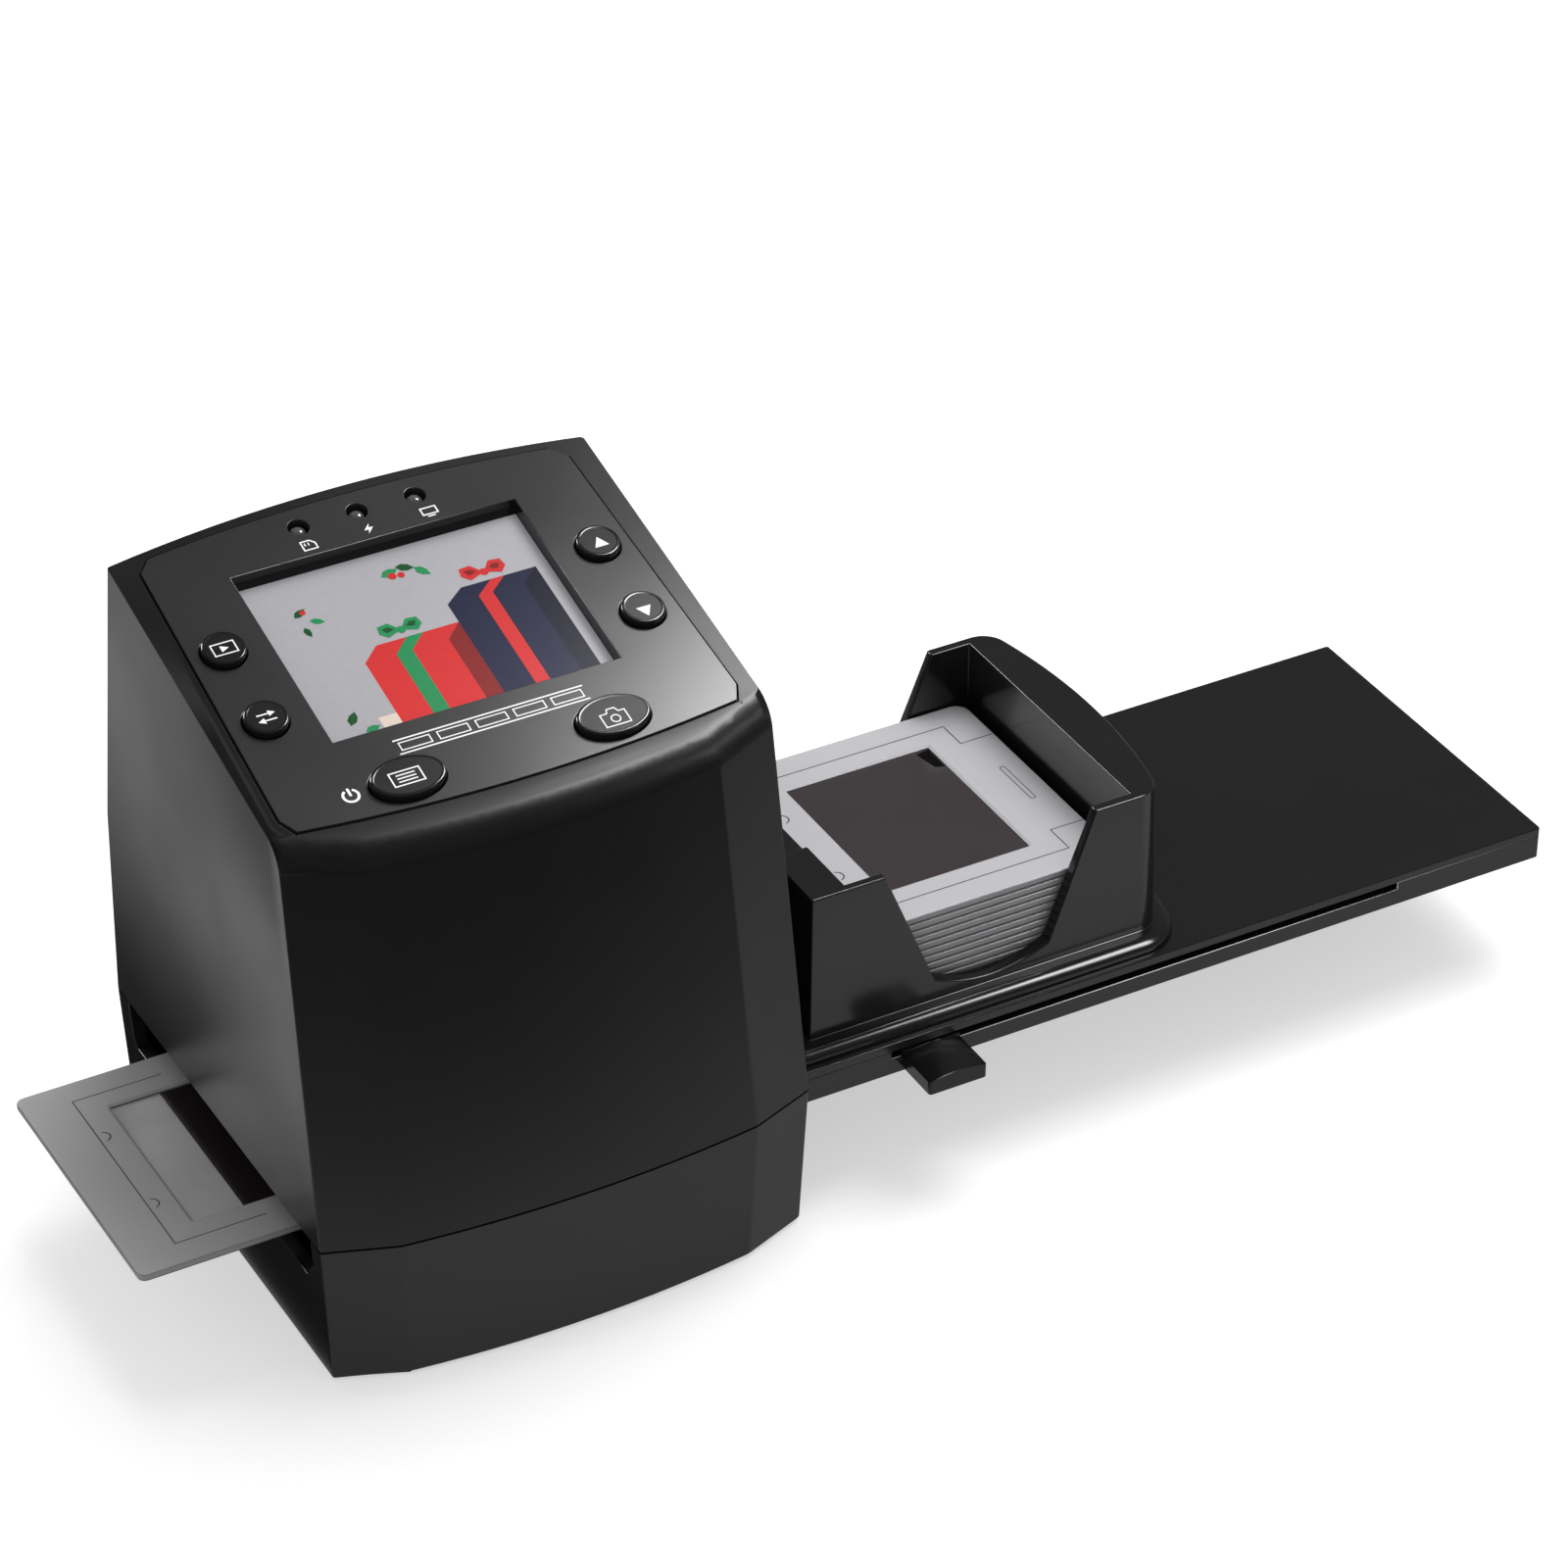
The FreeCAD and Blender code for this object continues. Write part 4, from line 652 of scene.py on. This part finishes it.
backdrop = screen_colour("Picture backdrop", (0.26, 0.255, 0.27), (0.4, 0.39, 0.42), 40)
red = screen_colour("Picture red", (0.28, 0.004, 0.006), (0.55, 0.012, 0.012), 90)
dark_red = screen_colour("Picture dark red", (0.1, 0.002, 0.003), (0.2, 0.005, 0.005), 90)
navy = screen_colour("Picture navy", (0.004, 0.005, 0.02), (0.012, 0.014, 0.045), 90)
deep_navy = screen_colour("Picture deep navy", (0.002, 0.002, 0.008), (0.006, 0.006, 0.02), 90)
green = screen_colour("Picture green", (0.005, 0.16, 0.05), (0.015, 0.32, 0.11), 30)
dark_green = screen_colour("Picture dark green", (0.003, 0.05, 0.012), (0.008, 0.12, 0.03), 30)
cream = screen_colour("Picture cream", (0.5, 0.42, 0.36), (0.72, 0.64, 0.58), 30)
picture_paints = [backdrop, red, dark_red, navy, deep_navy, green, dark_green, cream]

# %% Picture layers
SCREEN_W = -2.48
LAYER_STEP = 0.003
LEAF_LIFT = 0.04
BOW_LIFT = 0.045
FOLD_LIFT = 0.05
KNOT_LIFT = 0.055
bm = bmesh.new()
patch(bm, [(-24, -13.55), (24, -13.55), (24, 23.1), (-24, 23.1)], SCREEN_W, 0)
layers = [
    (1, [(-11.5, -13.5), (2.5, -13.5), (2.5, 1.5), (-11.5, 1.5)]),
    (2, [(2.5, -13.5), (5.5, -13.5), (5.5, 4.3), (2.5, 1.5)]),
    (1, [(-11.5, 1.5), (2.5, 1.5), (5.5, 4.3), (-8.4, 4.3)]),
    (3, [(5.5, -13.5), (18.5, -13.5), (18.5, 8.2), (5.5, 8.2)]),
    (4, [(18.5, -13.5), (21.8, -13.5), (21.8, 10.8), (18.5, 8.2)]),
    (3, [(5.5, 8.2), (18.5, 8.2), (21.8, 10.8), (9.0, 10.8)]),
    (5, [(-6.3, -13.5), (-3.6, -13.5), (-3.6, 1.5), (-6.3, 1.5)]),
    (5, [(-6.3, 1.5), (-3.6, 1.5), (-0.5, 4.3), (-3.3, 4.3)]),
    (1, [(10.8, -13.5), (13.2, -13.5), (13.2, 8.2), (10.8, 8.2)]),
    (1, [(10.8, 8.2), (13.2, 8.2), (16.4, 10.8), (14.1, 10.8)]),
    (7, [(-14.5, -13.5), (-11.5, -13.5), (-11.5, -9.5), (-14.5, -9.5)])]
for index, (paint, points) in enumerate(layers):
    patch(bm, points, SCREEN_W + LAYER_STEP * (index + 1), paint)

# %% Bows and leaves
bows = [(5, -3.4, 6.0, 3.3, 1.9), (1, 13.8, 12.6, 3.5, 2.0)]
for paint, u, v, length, height in bows:
    for side in (1, -1):
        loop = [(u, v), (u + 0.45 * side * length, v + height), (u + side * length, v + 0.9 * height),
                (u + 1.08 * side * length, v + 0.1 * height), (u + 0.75 * side * length, v - 0.5 * height)]
        if side < 0:
            loop.reverse()
        patch(bm, loop, SCREEN_W + BOW_LIFT, paint)
        fold = ((0.3, 0.2), (0.55, 0.62), (0.88, 0.5), (0.7, 0.0))
        inner = [(u + side * (x * length), v + y * height) for x, y in fold]
        if side < 0:
            inner.reverse()
        patch(bm, inner, SCREEN_W + FOLD_LIFT, 6 if paint == 5 else 2)
    patch(bm, arc(u, v, 0.75, 0, 330, 11), SCREEN_W + KNOT_LIFT, paint)
leaves = [(-17.5, 14.0, 30, 2.6, 6), (-15.6, 12.7, -25, 2.4, 5), (-17.0, 11.6, -80, 2.2, 6),
          (-1.5, 17.2, 15, 3.2, 5), (1.4, 18.4, -20, 3.0, 6), (4.1, 17.4, -50, 3.0, 5),
          (-19.0, -9.5, 55, 3.0, 6), (-17.4, -11.4, 10, 2.6, 5)]
for u, v, turn, size, paint in leaves:
    leaf = []
    for along, across in ((0, 0), (0.3, 0.24), (0.65, 0.22), (1, 0), (0.65, -0.22), (0.3, -0.24)):
        a = math.radians(turn)
        leaf.append((u + size * (along * math.cos(a) - across * math.sin(a)),
                     v + size * (along * math.sin(a) + across * math.cos(a))))
    patch(bm, leaf, SCREEN_W + LEAF_LIFT, paint)
for u, v, radius in ((-15.9, 14.6, 0.5), (0.2, 16.8, 0.7), (1.6, 16.6, 0.6)):
    patch(bm, arc(u, v, radius, 0, 330, 11), SCREEN_W + FOLD_LIFT, 1)
printed("screen_picture", bm, "scanner", picture_paints)

# %% [markdown]
# ## Feeder
#
# The tray, the hopper and the pusher are polished black mouldings. Every outer edge has a small radius, and
# that is what draws the thin white lines round the hopper in the light. A sharp edge would mirror nothing,
# so these bevels matter more here than on the matt case. The film slides fall into the channel of the tray
# one by one, and the pusher with its tab moves the lowest one into the scanner. The pusher is a deeper
# black.

# %% Tray, hopper and pusher
TRAY_SIDE_Y = 32
COVER_Z = 24
TAB_Y = -31
bm = merged("tray_base")
print("tray edges", round_edges(bm, lambda middle, edge: abs(local(middle)[1]) > TRAY_SIDE_Y, width=0.22))
finish_piece("tray_base_skin", bm, "slide_feeder", [feeder_skin], ["tray_base"])
bm = merged("tray_cover")
print("cover edges", round_edges(bm, lambda middle, edge: local(middle)[2] > COVER_Z, width=0.2))
finish_piece("tray_cover_skin", bm, "slide_feeder", [feeder_skin], ["tray_cover"])
bm = merged("hopper")
print("hopper edges", round_edges(bm, lambda middle, edge: True, width=0.3, segments=3))
finish_piece("hopper_skin", bm, "slide_feeder", [feeder_skin], ["hopper"])
tab_skin = moulded("Pusher plastic", (0.004, 0.004, 0.0043), 0.15, 0.2, size=0.6, depth=0.02, specular=0.3)
bm = merged("pusher")
print("pusher edges", round_edges(bm, lambda middle, edge: local(middle)[1] < TAB_Y, width=0.12))
finish_piece("pusher_skin", bm, "slide_pusher", [tab_skin], ["pusher"])

# %% [markdown]
# ## Slide mounts
#
# A slide mount is two thin moulded frames snapped together over the film. Its outer edge is rounded, so that
# a stack shows a crease between two mounts, and the sides of the window slope. A box would need a boolean for
# the window and two kinds of bevel, so one function lofts the whole section instead, from the top face over
# the edge and back through the window. The lower rounding, where two mounts in a stack meet, is painted near
# black as the shade between them, and the upright sides and window walls are painted a darker grey as shade.
# Thin dark lines on the face are the joints of the two frames, and the dark spot in a corner of the top
# window is painted shade from the window's walls.


# %% The section of a mount
HALF_MOUNT = 25
THICK = 1.4
OPENING_HALF_Y = 16.35
FACE_UP = 0.98
WALL = 0.8


def slide_mount(bm, x, z, opening, corner):
    edge = ((0.36, THICK), (0.1, 1.36), (0.0, 1.24), (0.0, 0.4), (0.1, 0.16), (0.36, 0.0))
    rings = []
    for inset, height in edge:
        ring = rounded_ring(HALF_MOUNT - inset, HALF_MOUNT - inset, corner - inset, steps=4)
        rings.append([at(x + px, py, z + height) for px, py in ring])
    for outset, height in ((0.5, 0.0), (0.0, 0.3), (0.0, 1.1), (0.45, THICK)):
        ring = rounded_ring(opening + outset, OPENING_HALF_Y + outset, 0.25 + outset, steps=4)
        rings.append([at(x + px, py, z + height) for px, py in ring])
    loft(bm, rings)
    # The lower rounding is painted near black as shade between stacked mounts, and the upright sides and
    # window walls are painted darker grey as shade.
    for face in bm.faces:
        if face.normal.z < -0.1 and abs(face.normal.z) < FACE_UP:
            face.material_index = 1
        elif abs(face.normal.z) < WALL:
            face.material_index = 2


def line_on_mount(bm, points, width, x, z, closed=False):
    count = len(points)
    for i in range(count if closed else count - 1):
        start = Vector(points[i])
        end = Vector(points[(i + 1) % count])
        along = (end - start).normalized()
        across = Vector((-along.y, along.x)) * width / 2
        along = along * width / 2
        corners = (start - along - across, end + along - across, end + along + across, start - along + across)
        face = bm.faces.new([bm.verts.new(at(x + corner.x, corner.y, z)) for corner in corners])
        face.material_index = 1
        face.normal_update()
        if face.normal.z < 0:
            face.normal_flip()


# %% The slide in the left slot
EJECTED_X = -40.9
EJECTED_Z = 19.9
LINE_LIFT = 0.01
LINE_WIDTH = 0.2
bm = bmesh.new()
slide_mount(bm, EJECTED_X, EJECTED_Z, opening=12.4, corner=1.4)
top_z = EJECTED_Z + THICK + LINE_LIFT
frame_line = [(-2, 20.15), (-17.1, 20.15), (-17.1, -20.15), (-2, -20.15)]
line_on_mount(bm, frame_line, LINE_WIDTH, EJECTED_X, top_z)
for y in (-9.5, 9.5):
    line_on_mount(bm, arc(-16.4, y, 1.2, -75, 75, 8), LINE_WIDTH, EJECTED_X, top_z)
finish_piece("ejected_mount", bm, "ejected_slide", [mount_grey, joint_and_shade_line, mount_side_shade],
             ["ejected_slide_mount"])

# %% The stack in the hopper
STACK_X = 81.8
STACK_Z = 21.343
STACK_COUNT = 14
PITCH = 1.443
FILM_SINK = 0.62
bm = bmesh.new()
for level in range(STACK_COUNT):
    slide_mount(bm, STACK_X, STACK_Z + PITCH * level, opening=13.5, corner=2.5)
top_z = STACK_Z + PITCH * (STACK_COUNT - 1) + THICK + LINE_LIFT
for side in (1, -1):
    edge_line = [(-24.6, 20.2 * side), (18.6, 20.2 * side), (18.6, 14.4 * side), (24.6, 14.4 * side)]
    line_on_mount(bm, edge_line, LINE_WIDTH, STACK_X, top_z)
    line_on_mount(bm, arc(-18.3, 9.15 * side, 1.2, -75, 75, 8), LINE_WIDTH, STACK_X, top_z)
oblong = [(21.0 + a, b) for a, b in rounded_ring(0.45, 5.2, 0.44, 4)]
line_on_mount(bm, oblong, 0.16, STACK_X, top_z, closed=True)
# dark patch in a corner of the top window: painted shade from the window's walls
shaded_corner = [(10.9, 15.9), (11.8, 11.2), (13.4, 10.6), (13.4, 16.25)]
film_top_z = top_z - FILM_SINK
bm.faces.new([bm.verts.new(at(STACK_X + x, y, film_top_z)) for x, y in shaded_corner]).material_index = 3
finish_piece("stack_mounts", bm, "slide_stack", [mount_pale, joint_and_shade_line, mount_side_shade, painted_shade_black],
             ["stacked_slide_mounts"])

# %% The film of the slide in the left slot
# the film is cut at this line, and the part towards the scanner is painted dark: painted shade
SHADE_STRIP_X = -44.8
bm = merged("ejected_slide_film")
border = at(SHADE_STRIP_X, 0, 0)
bmesh.ops.bisect_plane(bm, geom=bm.verts[:] + bm.edges[:] + bm.faces[:], plane_co=border, plane_no=(1, 0, 0))
for face in bm.faces:
    if face.calc_center_median().x > border.x:
        face.material_index = 1
finish_piece("ejected_film", bm, "ejected_slide", [film_floor_shade, film_strip_shade], ["ejected_slide_film"])

# %% [markdown]
# ## Studio
#
# The photograph was taken in a white sweep, a white floor that melts into a white background, under a wide
# soft light. Here that light only lights the object. The sheen on the face plate and the bright lines along
# the rims come from three lamps that show in reflections and light nothing else, so each can be moved
# without changing the shadow.
#
# The floor glows a little where the camera sees it, so that it comes out white and only the shadow stays
# grey. What the object mirrors of it has a brightness of its own, in bands, because a plain white floor
# would wash out the black plastic.


# %% Floor
# Each stop is a place in millimetres and the brightness that the object mirrors from there.
FRONT_STOPS = ((-260, 0.03), (-175, 0.08), (-130, 0.38), (-92, 0.93), (-60, 0.8), (-40, 0.6))
LEFT_STOPS = ((-260, 0), (-184, 0), (-168, 1.6), (-157, 5.4), (-147, 0.1), (-140, 0))
LEFT_OF = -0.102
BEHIND = -0.035


def level_line(tree, source, stops):
    first, last = stops[0][0], stops[-1][0]
    reach = tree.nodes.new("ShaderNodeMapRange")
    reach.inputs["From Min"].default_value = first * MM
    reach.inputs["From Max"].default_value = last * MM
    ramp = tree.nodes.new("ShaderNodeValToRGB")
    ramp.color_ramp.interpolation = "EASE"
    ends = ramp.color_ramp.elements
    for end, (place, value) in zip((ends[0], ends[1]), (stops[0], stops[-1])):
        end.color = (value, value, value, 1)
    for place, value in stops[1:-1]:
        element = ramp.color_ramp.elements.new((place - first) / (last - first))
        element.color = (value, value, value, 1)
    tree.links.new(source, reach.inputs["Value"])
    tree.links.new(reach.outputs["Result"], ramp.inputs["Fac"])
    return ramp.outputs["Color"]


def sweep(name, seen):
    material = bpy.data.materials.new(name)
    material.use_nodes = True
    tree = material.node_tree
    tree.nodes.clear()
    output = tree.nodes.new("ShaderNodeOutputMaterial")
    path = tree.nodes.new("ShaderNodeLightPath")
    diffuse = tree.nodes.new("ShaderNodeBsdfDiffuse")
    diffuse.inputs["Color"].default_value = (0.62, 0.62, 0.63, 1)
    shine = tree.nodes.new("ShaderNodeEmission")
    shine.inputs["Strength"].default_value = seen
    both = tree.nodes.new("ShaderNodeAddShader")
    where = tree.nodes.new("ShaderNodeNewGeometry")
    axes = tree.nodes.new("ShaderNodeSeparateXYZ")
    tree.links.new(where.outputs["Position"], axes.inputs[0])
    front = level_line(tree, axes.outputs["Y"], FRONT_STOPS)
    left = level_line(tree, axes.outputs["X"], LEFT_STOPS)
    beside = tree.nodes.new("ShaderNodeMath")
    beside.operation = "LESS_THAN"
    beside.inputs[1].default_value = LEFT_OF
    tree.links.new(axes.outputs["X"], beside.inputs[0])
    behind = tree.nodes.new("ShaderNodeMath")
    behind.operation = "GREATER_THAN"
    behind.inputs[1].default_value = BEHIND
    tree.links.new(axes.outputs["Y"], behind.inputs[0])
    corner = tree.nodes.new("ShaderNodeMath")
    corner.operation = "MULTIPLY"
    tree.links.new(beside.outputs[0], corner.inputs[0])
    tree.links.new(behind.outputs[0], corner.inputs[1])
    level = tree.nodes.new("ShaderNodeMix")
    level.data_type = "RGBA"
    tree.links.new(corner.outputs[0], level.inputs[0])
    tree.links.new(front, level.inputs[6])
    tree.links.new(left, level.inputs[7])
    mirror = tree.nodes.new("ShaderNodeEmission")
    mirror.inputs["Strength"].default_value = 1.0
    tree.links.new(level.outputs[2], mirror.inputs["Color"])
    pick = tree.nodes.new("ShaderNodeMixShader")
    tree.links.new(diffuse.outputs[0], both.inputs[0])
    tree.links.new(shine.outputs[0], both.inputs[1])
    tree.links.new(path.outputs["Is Glossy Ray"], pick.inputs[0])
    tree.links.new(both.outputs[0], pick.inputs[1])
    tree.links.new(mirror.outputs[0], pick.inputs[2])
    tree.links.new(pick.outputs[0], output.inputs["Surface"])
    return material


bm = bmesh.new()
bmesh.ops.create_grid(bm, x_segments=1, y_segments=1, size=4)
mesh = bpy.data.meshes.new("floor")
bm.to_mesh(mesh)
bm.free()
floor = bpy.data.objects.new("floor", mesh)
scene.collection.objects.link(floor)
mesh.materials.append(sweep("Floor", 0.53))
print("floor ready")

# %% World
world = bpy.data.worlds.new("Studio")
scene.world = world
world.use_nodes = True
tree = world.node_tree
seen = tree.nodes["Background"]
fill = tree.nodes.new("ShaderNodeBackground")
mirrored = tree.nodes.new("ShaderNodeBackground")
for sky, strength in ((seen, 1.1), (fill, 0.5), (mirrored, 0.14)):
    sky.inputs["Color"].default_value = (1, 1, 1, 1)
    sky.inputs["Strength"].default_value = strength
path = tree.nodes.new("ShaderNodeLightPath")
shiny = tree.nodes.new("ShaderNodeMixShader")
tree.links.new(path.outputs["Is Glossy Ray"], shiny.inputs[0])
tree.links.new(fill.outputs[0], shiny.inputs[1])
tree.links.new(mirrored.outputs[0], shiny.inputs[2])
pick = tree.nodes.new("ShaderNodeMixShader")
tree.links.new(path.outputs["Is Camera Ray"], pick.inputs[0])
tree.links.new(shiny.outputs[0], pick.inputs[1])
tree.links.new(seen.outputs[0], pick.inputs[2])
tree.links.new(pick.outputs[0], tree.nodes["World Output"].inputs["Surface"])
scene.view_settings.view_transform = "Standard"
print("world ready")


# %% Lights and camera
def softbox(name, place, target, width, height, power, soft=True, shiny=True, spread=180):
    lamp = bpy.data.lights.new(name, "AREA")
    lamp.shape = "RECTANGLE"
    lamp.size = width
    lamp.size_y = height
    lamp.energy = power
    lamp.spread = math.radians(spread)
    light = bpy.data.objects.new(name, lamp)
    light.location = place
    light.rotation_euler = (Vector(target) - Vector(place)).to_track_quat("-Z", "Y").to_euler()
    light.visible_camera = False
    light.visible_diffuse = soft
    light.visible_glossy = shiny
    scene.collection.objects.link(light)


softbox("Overhead", place=(0.45, 0.36, 1.2), target=(0, 0, 0), width=1.0, height=0.9, power=18, shiny=False)
softbox("Panel sheen", place=(0.068, 0.022, 0.27), target=(-0.02, -0.045, 0.09), width=0.07, height=0.07,
        power=0.49, soft=False)
softbox("Front strip", place=(0.17, -0.18, 0.19), target=(0.075, -0.03, 0.02), width=0.09, height=0.15,
        power=0.1, soft=False, spread=50)
softbox("Back strip", place=(-0.232, 0.36, 0.253), target=(0.048, 0, 0.053), width=0.14, height=0.07,
        power=1.1, soft=False)

view = bpy.data.cameras.new("Camera")
view.sensor_width = 36
view.lens = 125.62
eye = bpy.data.objects.new("Camera", view)
eye.location = (-0.35071, -0.63243, 0.54696)
eye.rotation_euler = (math.radians(55.825), 0, math.radians(-28.862))
scene.collection.objects.link(eye)
scene.camera = eye
print("camera and lights ready")
